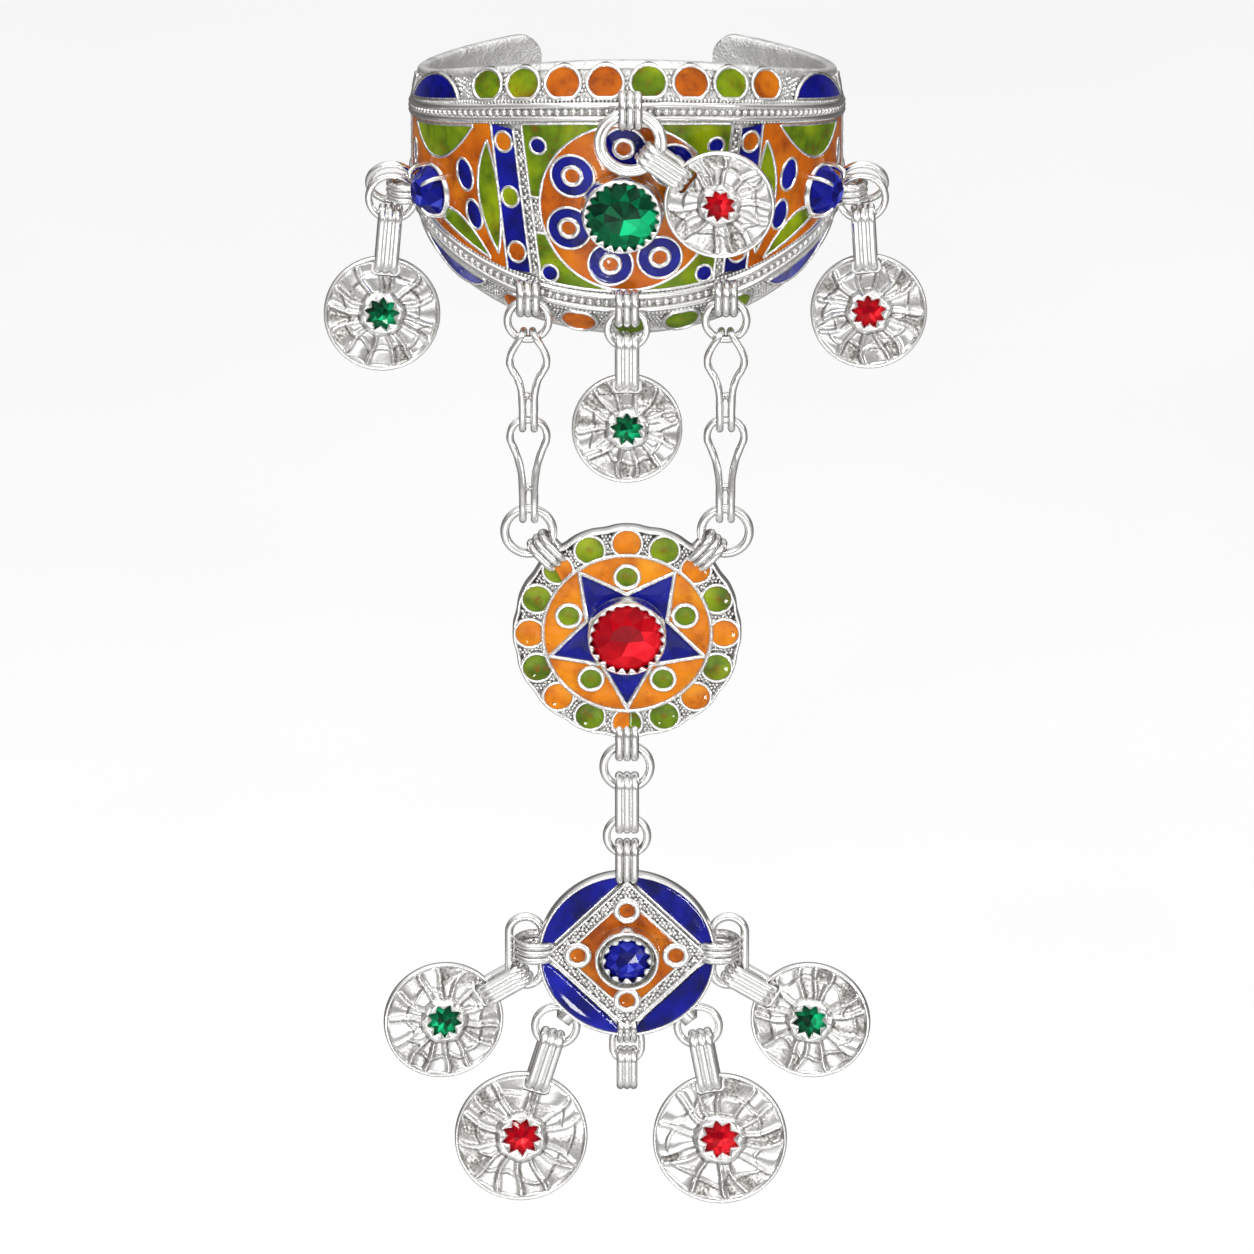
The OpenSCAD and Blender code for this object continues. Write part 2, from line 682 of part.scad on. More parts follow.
module medallion_orange_enamel() color(orange)
    hung(medal_z) {
        difference() {
            enamel_on_plate()
                rim_discs(0);
            medal_bails_cut();
        }
        enamel_on_plate()
            difference() {
                circle(wire_circle - 0.3 - gap);
                polygon(star(star_r + 0.6 + 3 * gap, star_in + 0.35 + gap, 5, -90));
                for (i = [0:4])
                    rotate(90 + i * 72)
                        translate([dot_at, 0])
                            circle(dot_r + 0.6 + gap);
                circle(red_stone_r + 0.6 + gap);
            }
    }
module medallion_red_stone() color(ruby)
    hung(medal_z)
        translate([0, 0, face + 1.95])
            cut_stone(red_stone_r - 0.05, 1.6, 1.5);

// Ring plate's pattern
bar_at = 7.7;
bar_w = 1.8;
eye_ring_at = 7.5;
eye_ring_out = 2.2;
eye_ring_in = 1.1;
blue_stone_r = 3.6;
tube_r = 4.9;
tube_h = 3.4;
deep_bend = 2.2;
deep_shift = 1.2;
side_bail_len = 6.4;
shank_w = 3.6;
shank_t = 1.2;

module ring_plate() color(silver) {
    hung(plate_z) {
        translate([0, 0, -face])
            cylinder(h = plate_t, r = plate_r);
        translate([0, 0, face - 0.1])
            linear_extrude(cloison_top)
                ring_plate_wires();
        translate([0, 0, face - 0.1])
            linear_extrude(tube_h)
                annulus(tube_r, tube_r - 0.5);
        translate([0, 0, face - 0.1])
            difference() {
                union() {
                    cylinder(h = 1.2, r = tube_r - 0.2);
                    toothed_rim(blue_stone_r, 12, tube_h - 0.4);
                }
                translate([0, 0, 0.8])
                    cylinder(h = tube_h - 1.7, r = blue_stone_r + 0.15);
            }
    }
    translate([0, chain_y + face + finger_r + shank_t - 0.3, plate_z])
        difference() {
            cylinder(h = shank_w, r = finger_r + shank_t, center = true);
            cylinder(h = shank_w + 2, r = finger_r, center = true);
        }
    plate_bails();
}
module plate_bails() {
    foot = plate_z + plate_r - 2.2;
    head = middle_ring_z[1] - bite(small_ring);
    bail(0, chain_y, (foot + head) / 2, head - foot);
    for (s = [-1, 1])
        bail(s * (plate_r + 3.7 - side_bail_len / 2), chain_y + deep_shift, plate_z + 0.4,
            side_bail_len, 90, bend = deep_bend);
    low_len = 5.4;
    low_foot = bottom_ring_z + bottom_half + bottom_hold;
    bail(0, chain_y + 1.3, low_foot + low_len / 2, low_len, 0, 1.9, slim_pitch, slim_wire);
    for (s = [-1, 1])
        eye_strap(s);
}
// Flat strap behind the rim that holds a lower ring
eye_in = 10.6;
eye_out = 15.5;
module eye_strap(s) {
    d = [low_ring_at[0], low_ring_at[1] - plate_z];
    translate([0, behind_y, plate_z])
        rotate([0, s * atan2(d[0], d[1]), 0])
            translate([-1.1, 0, eye_in])
                rotate([0, 90, 0])
                    linear_extrude(2.2)
                        difference() {
                            translate([-(eye_out - eye_in), -1.7])
                                square([eye_out - eye_in, 3.4]);
                            translate([-(eye_out - eye_in) + 0.7, -0.85])
                                square([eye_out - eye_in - 1.5, 1.7]);
                        }
}
module ring_plate_wires() {
    annulus(plate_r, plate_r - 0.7);
    intersection() {
        circle(plate_r - 0.3);
        rotate(45)
            difference() {
                square(2 * bar_at + bar_w, center = true);
                square(2 * bar_at - bar_w, center = true);
            }
    }
    for (a = [0:90:270])
        rotate(a)
            translate([eye_ring_at, 0])
                annulus(eye_ring_out, eye_ring_in);
}
module plate_cut() {
    for (a = [0:90:270])
        rotate([0, 0, a])
            translate([-2.5, plate_r - 3.4, -2])
                cube([5, 8, 6]);
}
module ring_plate_blue_enamel() color(blue)
    hung(plate_z)
        difference() {
            enamel_on_plate()
                difference() {
                    circle(plate_r - 0.7 - gap);
                    rotate(45)
                        square(2 * (bar_at + bar_w / 2 + gap), center = true);
                }
            plate_cut();
        }
module ring_plate_orange_enamel() color(orange)
    hung(plate_z)
        difference() {
            enamel_on_plate()
                difference() {
                    rotate(45)
                        square(2 * (bar_at - bar_w / 2 - gap), center = true);
                    circle(tube_r + gap);
                    for (a = [0:90:270])
                        rotate(a)
                            translate([eye_ring_at, 0])
                                circle(eye_ring_out + gap);
                }
            plate_cut();
        }
module ring_plate_blue_stone() color(blue)
    hung(plate_z)
        translate([0, 0, face + 1.6])
            cut_stone(blue_stone_r - 0.05, 1.4, 0.7, 16);

// Rings in the upright plane of the view
module jump_ring(x, y, z, r, wire = ring_wire, turn = 0) {
    translate([x, y, z])
        rotate([0, 0, turn])
            rotate([90, 0, 0])
                rotate_extrude()
                    translate([r, 0])
                        circle(wire);
}
// Oval ring: two half rings and two straight wires
module oval_ring(x, y, z, r, half, wire) {
    translate([x, y, z])
        for (s = [0, 1])
            rotate([0, 180 * s, 0]) {
                translate([0, 0, half])
                    rotate([90, 0, 0])
                        rotate_extrude(angle = 180)
                            translate([r, 0])
                                circle(wire);
                translate([r, 0, -half])
                    cylinder(h = 2 * half, r = wire);
            }
}

module jump_ring_top() color(silver)
    translate([top_ring_at[0], front_y - 0.25, top_ring_at[1]])
        rotate([90, 0, 0])
            rotate_extrude() {
                translate([top_ring, 0])
                    circle(ring_wire);
                translate([top_ring + 0.75, 0])
                    circle(ring_wire - 0.1);
            }
module jump_ring_centre() color(silver)
    jump_ring(centre_ring_at[0], front_y + 0.2, centre_ring_at[1], centre_ring, 0.55);
module side_jump_ring(s, up) {
    translate([s * side_x, side_y + up * side_apart, side_bail_z])
        rotate([up > 0 ? side_lean : 0, 0, 0])
            jump_ring(0, 0, up * side_rise, side_ring, side_wire);
}
module jump_ring_left_upper() color(silver) side_jump_ring(-1, 1);
module jump_ring_left_lower() color(silver) side_jump_ring(-1, -1);
module jump_ring_right_upper() color(silver) side_jump_ring(1, 1);
module jump_ring_right_lower() color(silver) side_jump_ring(1, -1);
module chain_ring_left() color(silver) jump_ring(-chain_x, chain_y, chain_ring_z, small_ring);
module chain_ring_right() color(silver) jump_ring(chain_x, chain_y, chain_ring_z, small_ring);
module medallion_ring_left() color(silver)
    jump_ring(-chain_x, chain_y, medal_ring_z, medal_ring, medal_wire);
module medallion_ring_right() color(silver)
    jump_ring(chain_x, chain_y, medal_ring_z, medal_ring, medal_wire);
module middle_ring_upper() color(silver)
    jump_ring(0, chain_y, middle_ring_z[0], middle_ring, middle_wire);
module middle_ring_lower() color(silver)
    jump_ring(0, chain_y, middle_ring_z[1], small_ring);
module plate_ring_left() color(silver)
    oval_ring(-oval_at[0], behind_y, oval_at[1], oval_bend, oval_half, middle_wire);
module plate_ring_right() color(silver)
    oval_ring(oval_at[0], behind_y, oval_at[1], oval_bend, oval_half, middle_wire);
module plate_ring_low_left() color(silver)
    jump_ring(-low_ring_at[0], behind_y, low_ring_at[1], low_ring);
module plate_ring_low_right() color(silver)
    jump_ring(low_ring_at[0], behind_y, low_ring_at[1], low_ring);
module plate_ring_bottom() color(silver)
    oval_ring(0, behind_y, bottom_ring_z, bottom_bend, bottom_half, bottom_wire);

// Drops: ring centre x and z, plane y, coin centre x and z, coin radius, ring centre to link
// end, tilt of the coin's foot towards the viewer, turn about the ring's upright axis
RX = 0; RZ = 1; PY = 2; CX = 3; CZ = 4; CR = 5; HOLD = 6; TILT = 7; TURN = 8;
drop_top = [0.5, 11.4, front_y - 0.25, 13.8, 1.8, 8.3, bite(top_ring), 6, 0];
drop_centre = [0, -18.6, front_y + 0.2, 0, -34.2, 8.3, bite(centre_ring, 0.55), 10, 0];
side_hold = bite(side_ring, side_wire);
low_side_z = side_bail_z - side_rise;
low_side_y = side_y - side_apart;
drop_left = [-side_x, low_side_z, low_side_y, -37, -24.4, 8.8, side_hold, 10, 0];
drop_right = [side_x, low_side_z, low_side_y, 36.5, -24.05, 8.8, side_hold, 10, 0];
oval_foot = oval_at[1] - oval_half;
oval_hold = bite(oval_bend, middle_wire) - 0.22;
drop_plate_left = [-oval_at[0], oval_foot, behind_y, -28.2, -133.8, 9.2, oval_hold, 10, 0];
drop_plate_right = [oval_at[0], oval_foot, behind_y, 28.2, -133.8, 9.2, oval_hold, 10, 0];
drop_low_left = [-low_ring_at[0], low_ring_at[1], behind_y, -16.3, -153.4, 10.2, bite(low_ring), 10, 0];
drop_low_right = [low_ring_at[0], low_ring_at[1], behind_y, 14.3, -153.8, 10.3, bite(low_ring), 10, 0];
slot_in = 2.64;
function drop_turn(d) = atan2(d[RX] - d[CX], d[RZ] - d[CZ]);
function drop_span(d) = norm([d[RX] - d[CX], d[RZ] - d[CZ]]);

module turned_drop(d) {
    translate([d[RX], d[PY], 0])
        rotate([0, 0, d[TURN]])
            translate([-d[RX], 0, 0])
                children();
}
module drop_link(d) {
    length = drop_span(d) - d[HOLD] - (d[CR] - slot_in);
    turned_drop(d)
        translate([d[RX], 0, d[RZ]])
            rotate([0, drop_turn(d), 0])
                translate([0, 0, -d[HOLD] - length / 2])
                    triple_loop(length);
}
// Coin frame: drawn flat with the slot at the top, then hung and tilted about its slot
module in_coin(d) {
    slot = d[CR] - 2;
    turned_drop(d)
        translate([d[CX], 0, d[CZ]])
            rotate([0, drop_turn(d), 0])
                translate([0, 0, slot])
                    rotate([-d[TILT], 0, 0])
                        translate([0, 0, -slot])
                            rotate([90, 0, 0])
                                children();
}
coin_t = 0.9;
collar_r = 3.1;
star_hole = 2.35;
star_notch = 1.5;
ridge_n = 15;
module coin(d, seed) {
    in_coin(d)
        difference() {
            union() {
                translate([0, 0, -coin_t / 2])
                    rotate_extrude()
                        polygon([[0, 0], [d[CR], 0], [d[CR], coin_t + 0.25], [d[CR] - 0.45, coin_t + 0.3],
                            [d[CR] - 0.7, coin_t], [collar_r + 0.5, coin_t], [collar_r, coin_t + 0.8],
                            [collar_r - 0.5, coin_t + 1], [0, coin_t + 1]]);
                coin_ridges(d[CR], seed);
            }
            linear_extrude(4)
                polygon(star(star_hole, star_notch, 8));
            translate([-2.15, d[CR] - 3, -2])
                cube([4.3, 2.1, 5]);
        }
}
// Uneven radial ridges, beaten up from the coin's field
module coin_ridges(r, seed) {
    shift = rands(-7, 7, ridge_n, seed);
    width = rands(0.35, 0.75, ridge_n, seed + 1);
    rise = rands(0.3, 0.6, ridge_n, seed + 2);
    skew = rands(-0.9, 0.9, ridge_n, seed + 3);
    z = coin_t / 2;
    for (i = [0:ridge_n - 1])
        rotate([0, 0, 90 + (i + 0.5) * 360 / ridge_n + shift[i] * 0.7])
            polyhedron(
                [[collar_r + 0.2, -0.2, z - 0.2], [collar_r + 0.2, 0.2, z - 0.2],
                 [r - 0.55, width[i] + skew[i], z - 0.2], [r - 0.55, -width[i] + skew[i], z - 0.2],
                 [collar_r + 0.2, 0, z + 0.25], [r - 0.55, skew[i], z + rise[i]]],
                [[0, 3, 2], [0, 2, 1], [0, 4, 5], [0, 5, 3], [1, 2, 5], [1, 5, 4], [2, 3, 5], [0, 1, 4]]);
}
// Star-shaped stone: eight points, sloping facets and a flat eight-sided table
module star_stone(d) {
    rim = [for (i = [0:15]) let (r = (i % 2 == 0 ? star_hole : star_notch) - gap, a = 90 + i * 22.5)
        [r * cos(a), r * sin(a), 1]];
    foot = [for (p = rim) [p[0], p[1], 0.15]];
    table = [for (i = [0:7]) let (a = 90 + 22.5 + i * 45) [0.95 * cos(a), 0.95 * sin(a), 1.6]];
    in_coin(d)
        polyhedron(concat(foot, rim, table), concat(
            [for (i = [0:7]) each let (a = 2 * i, b = 2 * i + 1, c = (2 * i + 2) % 16)
                [[a, a + 16, b + 16, b], [b, b + 16, c + 16, c]]],
            [for (i = [0:7]) each let (a = 16 + 2 * i, b = 17 + 2 * i, c = 16 + (2 * i + 2) % 16,
                    q = 32 + i, p = 32 + (i + 7) % 8)
                [[a, q, b], [b, q, c], [a, p, q]]],
            [[for (i = [7:-1:0]) 32 + i]],
            [[for (i = [0:15]) i]]));
}

module coin_top() color(silver) coin(drop_top, 11);
module coin_left() color(silver) coin(drop_left, 23);
module coin_right() color(silver) coin(drop_right, 31);
module coin_centre() color(silver) coin(drop_centre, 42);
module coin_plate_left() color(silver) coin(drop_plate_left, 57);
module coin_plate_right() color(silver) coin(drop_plate_right, 64);
module coin_low_left() color(silver) coin(drop_low_left, 78);
module coin_low_right() color(silver) coin(drop_low_right, 85);
module coin_green_stones() color(emerald)
    for (d = [drop_left, drop_centre, drop_plate_left, drop_plate_right])
        star_stone(d);
module coin_red_stones() color(ruby)
    for (d = [drop_top, drop_right, drop_low_left, drop_low_right])
        star_stone(d);

module link_top() color(silver) drop_link(drop_top);
module link_left() color(silver) drop_link(drop_left);
module link_right() color(silver) drop_link(drop_right);
module link_centre() color(silver) drop_link(drop_centre);
module link_plate_left() color(silver) drop_link(drop_plate_left);
module link_plate_right() color(silver) drop_link(drop_plate_right);
module link_low_left() color(silver) drop_link(drop_low_left);
module link_low_right() color(silver) drop_link(drop_low_right);
module link_middle() color(silver) {
    head = middle_ring_z[0] - bite(middle_ring, middle_wire);
    foot = middle_ring_z[1] + bite(small_ring);
    bail(0, chain_y, (head + foot) / 2, head - foot);
}
empty_len = 7;
module link_empty() color(silver)
    bail(0, behind_y, bottom_ring_z - bottom_half - bottom_hold - empty_len / 2, empty_len,
        pitch = slim_pitch, wire = slim_wire);

// Keyhole link: a pear of wire whose two legs fold back round the next wire below it.
// Heights count down from the wire that it hangs on. One half of its middle line, as
// [x, y, z], from the pear's crown to the middle of the back, is mirrored for the other.
function pear_half(length, front, pear_r, fold) =
    let (c = -pear_r, leg = 0.88, low = -length)
    concat([for (a = [62, 28, -8, -38]) [pear_r * cos(a), front, c + pear_r * sin(a)]],
        [[1.55, front, low * 0.45], [0.95, (front - fold) / 2, low * 0.62], [leg, -fold, low + 1.6],
         [leg, -fold, low - 0.2], [leg, -fold * 0.75, low - fold * 0.85], [leg, 0, low - fold],
         [leg, fold * 0.75, low - fold * 0.85], [leg, fold, low - 0.2],
         [leg, fold, low + 2.2], [leg * 0.6, fold, low + 2.9]]);
function mirrored(p) = [for (i = [len(p) - 1:-1:0]) [-p[i][0], p[i][1], p[i][2]]];
// Cuts the corners of a path once
function softened(p, closed) = [for (i = [0:len(p) - (closed ? 1 : 2)])
    let (a = p[i], b = p[(i + 1) % len(p)]) each [a * 0.75 + b * 0.25, a * 0.25 + b * 0.75]];

// Round wire along a path, carrying one side direction from ring to ring without twist
module wire_sweep(path, r, closed, sides = 5) {
    n = len(path);
    tangent = [for (i = [0:n - 1]) unit(path[closed ? (i + 1) % n : min(i + 1, n - 1)]
        - path[closed ? (i + n - 1) % n : max(i - 1, 0)])];
    start = unit(cross(tangent[0], [0.31, 0.87, 0.38]));
    side = [for (i = 0, u = start; i < n;
        i = i + 1, u = i < n ? unit(u - tangent[i] * (u * tangent[i])) : u) u];
    skin([for (i = [0:n - 1]) let (u = side[i], v = cross(tangent[i], u))
        [for (k = [0:sides - 1]) path[i] + r * (cos(k * 360 / sides) * u
            + sin(k * 360 / sides) * v)]], closed);
}
module keyhole_link(length, pear_r, fold) {
    half = pear_half(length, 0, pear_r, fold);
    wire_sweep(softened(concat(mirrored(half), half), true), keyhole_wire, true);
}
// The upper link is open at its crown: both ends hook back over the ring that holds it
module hooked_link(length, pear_r, fold) {
    over = keyhole_wire + ring_wire + 0.2;
    hook = [[0.66, over * 0.6, -1.1], [0.66, over, -0.1], [0.66, over * 0.6, over * 0.85],
        [0.68, -over * 0.3, over * 1.02], [0.95, -over, over * 0.75]];
    pear = pear_half(length, -over, pear_r, fold);
    half = concat(hook, [for (i = [1:len(pear) - 1]) pear[i]]);
    wire_sweep(softened(concat(half, mirrored(half)), false), keyhole_wire, false);
}
upper_fold = 2 * keyhole_wire + 0.54;
lower_fold = keyhole_wire + medal_wire + 0.36;
module keyhole_left_upper() color(silver)
    translate([-chain_x, chain_y, keyhole_a_z])
        hooked_link(keyhole_a, 2.9, upper_fold);
module keyhole_left_lower() color(silver)
    translate([-chain_x, chain_y, keyhole_b_z])
        keyhole_link(keyhole_b, 2.9, lower_fold);
module keyhole_right_upper() color(silver)
    translate([chain_x, chain_y, keyhole_a_z])
        hooked_link(keyhole_a, 2.9, upper_fold);
module keyhole_right_lower() color(silver)
    translate([chain_x, chain_y, keyhole_b_z])
        keyhole_link(keyhole_b, 2.9, lower_fold);

cuff();
cuff_blue_enamel();
cuff_green_enamel();
cuff_orange_enamel();
cuff_green_stone();
cuff_left_stone();
cuff_right_stone();
medallion();
medallion_blue_enamel();
medallion_green_enamel();
medallion_orange_enamel();
medallion_red_stone();
ring_plate();
ring_plate_blue_enamel();
ring_plate_orange_enamel();
ring_plate_blue_stone();
coin_top();
coin_left();
coin_right();
coin_centre();
coin_plate_left();
coin_plate_right();
coin_low_left();
coin_low_right();
coin_green_stones();
coin_red_stones();
jump_ring_top();
jump_ring_centre();
jump_ring_left_upper();
jump_ring_left_lower();
jump_ring_right_upper();
jump_ring_right_lower();
chain_ring_left();
chain_ring_right();
medallion_ring_left();
medallion_ring_right();
middle_ring_upper();
middle_ring_lower();
plate_ring_left();
plate_ring_right();
plate_ring_low_left();
plate_ring_low_right();
plate_ring_bottom();
link_top();
link_left();
link_right();
link_centre();
link_middle();
link_empty();
link_plate_left();
link_plate_right();
link_low_left();
link_low_right();
keyhole_left_upper();
keyhole_left_lower();
keyhole_right_upper();
keyhole_right_lower();
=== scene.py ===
"""Looks of an enamelled hand bracelet: an open cuff, a medallion and a finger-ring plate
joined by chains, with eight coin drops. Lengths are in millimetres until a mesh is made."""
import math

import bpy
import numpy as np
from mathutils import Matrix, Vector, geometry


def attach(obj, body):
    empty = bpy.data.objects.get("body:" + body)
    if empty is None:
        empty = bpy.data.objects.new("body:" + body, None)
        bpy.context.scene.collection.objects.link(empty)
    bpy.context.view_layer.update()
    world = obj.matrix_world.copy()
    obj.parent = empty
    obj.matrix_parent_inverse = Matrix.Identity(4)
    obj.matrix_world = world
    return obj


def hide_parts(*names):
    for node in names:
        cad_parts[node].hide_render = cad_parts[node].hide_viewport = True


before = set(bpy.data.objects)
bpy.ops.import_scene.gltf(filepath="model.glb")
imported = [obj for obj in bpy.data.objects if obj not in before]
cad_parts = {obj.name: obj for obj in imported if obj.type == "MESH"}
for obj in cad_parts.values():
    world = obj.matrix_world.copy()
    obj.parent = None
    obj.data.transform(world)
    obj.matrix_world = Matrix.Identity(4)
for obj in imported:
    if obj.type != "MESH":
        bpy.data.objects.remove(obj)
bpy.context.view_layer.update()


# Cuff wall: one sheet of silver bent to an open oval, its two rim strips leaning inwards
# and a plain round bead along both rims. Its inside is left as the hammer leaves it.
cuff_side, cuff_depth, sheet_thick = 31.9, 28.6, 1.2
front_half, end_half, end_angle, corner_round = 21.8, 7.6, 155.0, 3.6
band_front, band_back, band_end, strip_lean = 15.3, 4.4, 105.0, 3.7
band_half_back, band_half_more, band_half_front = 1.33, 0.57, 1.9
deg_per_mm = 1 / math.radians(cuff_side)


def swell(t, power):
    return ((1 + np.cos(np.radians(np.asarray(t, float) * 180 / end_angle))) / 2) ** power


def rim_z(t):
    return end_half + (front_half - end_half) * swell(t, 1.3)


def band_mid(t):
    run = np.radians(np.minimum(np.abs(t), band_end) * 90 / band_end)
    return band_back + (band_front - band_back) * np.maximum(np.cos(run), 0) ** 1.5


def band_half(t):
    return band_half_back + band_half_more * np.cos(np.radians(t))


def field_z(t):
    return band_mid(t) - band_half(t)


def strip_z(t):
    return band_mid(t) + band_half(t)


def outward(t):
    a = np.radians(np.asarray(t, float))
    n = np.stack([cuff_depth * np.sin(a), -cuff_side * np.cos(a), 0 * a], -1)
    return n / np.linalg.norm(n, axis=-1, keepdims=True)


def on_cuff(t, z, lift=0.0):
    """Points of the cuff's face at angle t and height z, lifted off it."""
    t, z, lift = np.broadcast_arrays(*(np.asarray(v, float) for v in (t, z, lift)))
    a = np.radians(t)
    lean = strip_lean * swell(t, 1.5)
    drawn_in = lean * np.maximum(0, np.abs(z) - strip_z(t)) / (rim_z(t) - strip_z(t))
    foot = np.stack([cuff_side * np.sin(a), -cuff_depth * np.cos(a), z], -1)
    return foot + outward(t) * (lift - drawn_in)[..., None]


def strip_slope(t):
    return np.arctan2(strip_lean * swell(t, 1.5), rim_z(t) - strip_z(t))


def in_scene(name, data):
    thing = bpy.data.objects.new(name, data)
    bpy.context.scene.collection.objects.link(thing)
    return thing


class Form:
    """A mesh as it is made: points, faces, and a value per point: painted shade on silver,
    painted light on stone facets, stain on enamel.
    """

    def __init__(self):
        self.points, self.faces, self.hollow, self.count = [], [], [], 0

    def add(self, points, faces, hollow=0.0):
        points = np.asarray(points, float).reshape(-1, 3)
        self.points.append(points)
        self.hollow.append(np.broadcast_to(np.ravel(hollow), len(points)))
        self.faces += (np.asarray(faces) + self.count).tolist()
        self.count += len(points)

    def made(self, name, material, slot, replaces=(), smooth=True):
        """Makes the piece in metres; it rides on the bracelet and takes a finish."""
        mesh = bpy.data.meshes.new(name)
        points = np.concatenate(self.points) / 1000
        mesh.from_pydata(points.tolist(), [], self.faces)
        mesh.attributes.new("hollow", "FLOAT", "POINT").data.foreach_set(
            "value", np.concatenate(self.hollow).astype(np.float32))
        mesh.polygons.foreach_set("use_smooth", [smooth] * len(mesh.polygons))
        mesh.materials.append(material)
        piece = in_scene(name, mesh)
        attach(piece, "root")
        if replaces:
            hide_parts(*replaces)
        return piece


def lattice(rows, across, closed=False):
    """Four-sided faces between rings of points; closed joins the last ring to the first."""
    i = np.arange(rows if closed else rows - 1)[:, None]
    j = np.arange(across)[None, :]
    next_i, next_j = (i + 1) % rows, (j + 1) % across
    corners = [i * across + j, i * across + next_j, next_i * across + next_j,
               next_i * across + j]
    return np.stack(np.broadcast_arrays(*corners), -1).reshape(-1, 4)


def unit(v):
    return v / np.maximum(np.linalg.norm(v, axis=-1, keepdims=True), 1e-9)


def turn_steps(n, shift=0.0):
    """Angles of n even steps round a turn."""
    return (np.arange(n) + shift) * 2 * math.pi / n


def polar(r, a, *height):
    """Flat points at radius r and angle a, or points in space where a height is given."""
    return np.stack(np.broadcast_arrays(r * np.cos(a), r * np.sin(a), *height), -1)


any_way = (0.31, 0.87, 0.38)


def sweep(form, path, section, up=None, closed=False, hollow=0.0, swell_by=None):
    """Draws a section, as (side, up) points, along a path, thicker by swell_by as it goes."""
    path = np.asarray(path, float)
    ahead = np.roll(path, -1, 0) - np.roll(path, 1, 0)
    if not closed:
        ahead[0], ahead[-1] = path[1] - path[0], path[-1] - path[-2]
    ahead = unit(ahead)
    if up is None:
        lie = unit(np.cross(ahead[0], any_way))
        rows = []
        for a in ahead:
            lie = unit(lie - a * np.dot(lie, a))
            rows.append(lie)
        up = np.array(rows)
    up = np.broadcast_to(up, path.shape)
    side = unit(np.cross(ahead, up))
    up = unit(np.cross(side, ahead))
    section = np.asarray(section, float)
    s, u = (np.broadcast_to(section[:, k], (len(path), len(section))) for k in (0, 1))
    if swell_by is not None:
        s, u = s * swell_by[:, None], u * swell_by[:, None]
    points = path[:, None] + side[:, None] * s[..., None] + up[:, None] * u[..., None]
    shade = np.broadcast_to(np.asarray(hollow, float), (len(path), len(section)))
    form.add(points, lattice(len(path), len(section), closed), shade)
    if not closed:
        n = len(section)
        form.add(points[0], [list(range(n))])
        form.add(points[-1], [list(range(n))[::-1]])


def round_section(r, sides, flat=1.0):
    a = turn_steps(sides)
    return np.stack([r * np.cos(a), r * flat * np.sin(a)], -1)


class Socket:
    """A shader socket that can be reckoned with: numbers make Math nodes."""

    def __init__(self, tree, socket):
        self.tree, self.socket = tree, socket

    @classmethod
    def node(cls, tree, kind, settings=None, out=0, **inputs):
        """Any node: its type, its settings, then values or links of its sockets by name, or
        by number after an underscore."""
        node = tree.nodes.new("ShaderNode" + kind)
        for key, value in (settings or {}).items():
            if key == "stops":
                ramp = node.color_ramp
                while len(ramp.elements) < len(value):
                    ramp.elements.new(0.5)
                for element, (at, colour) in zip(ramp.elements, value):
                    element.position, element.color = at, (*colour, 1)
            else:
                setattr(node, key, value)
        for name, value in inputs.items():
            key = int(name[1:]) if name[1:].isdigit() else name.replace("_", " ")
            feed(tree, node.inputs[key], value)
        return cls(tree, node.outputs[out])

    def reckon(self, operation, **others):
        return self.node(self.tree, "Math", {"operation": operation}, _0=self, **others)

    def __add__(self, other):
        return self.reckon("ADD", _1=other)

    def __mul__(self, other):
        return self.reckon("MULTIPLY", _1=other)

    def __sub__(self, other):
        return self.reckon("SUBTRACT", _1=other)

    def __rsub__(self, other):
        return (self * -1) + other

    __radd__, __rmul__ = __add__, __mul__

    def between(self, low, high, out_low=0.0, out_high=1.0):
        """Brings low..high to out_low..out_high, and holds it there."""
        return self.node(self.tree, "MapRange", out="Result", Value=self, From_Min=low,
                         From_Max=high, To_Min=out_low, To_Max=out_high)


def feed(tree, socket, value):
    if isinstance(value, Socket):
        tree.links.new(value.socket, socket)
    else:
        socket.default_value = value


def blended(tree, share, a, b):
    """Mix of two colours, each a tuple or a socket."""
    a, b = ((*colour, 1) if isinstance(colour, tuple) else colour for colour in (a, b))
    return Socket.node(tree, "Mix", {"data_type": "RGBA"}, 2, _0=share, _6=a, _7=b)


def new_material(name, **fixed):
    """A material with its main shader; values that are the same all over go on its sockets."""
    material = bpy.data.materials.new(name)
    material.use_nodes = True
    shader = material.node_tree.nodes["Principled BSDF"]
    for key, value in fixed.items():
        shader.inputs[key.replace("_", " ")].default_value = value
    return material, material.node_tree, shader.inputs


def mesh_painted_light_and_stain(tree):
    """What the mesh keeps at each point: painted shade on silver, painted light on stone facets,
    stain on enamel.
    """
    return Socket.node(tree, "Attribute", {"attribute_name": "hollow"}, "Fac")


def grain(tree, scale, detail=3.0, rough=0.5):
    where = Socket.node(tree, "TexCoord", out="Object")
    return Socket.node(tree, "TexNoise", Vector=where, Scale=scale, Detail=detail,
                       Roughness=rough)


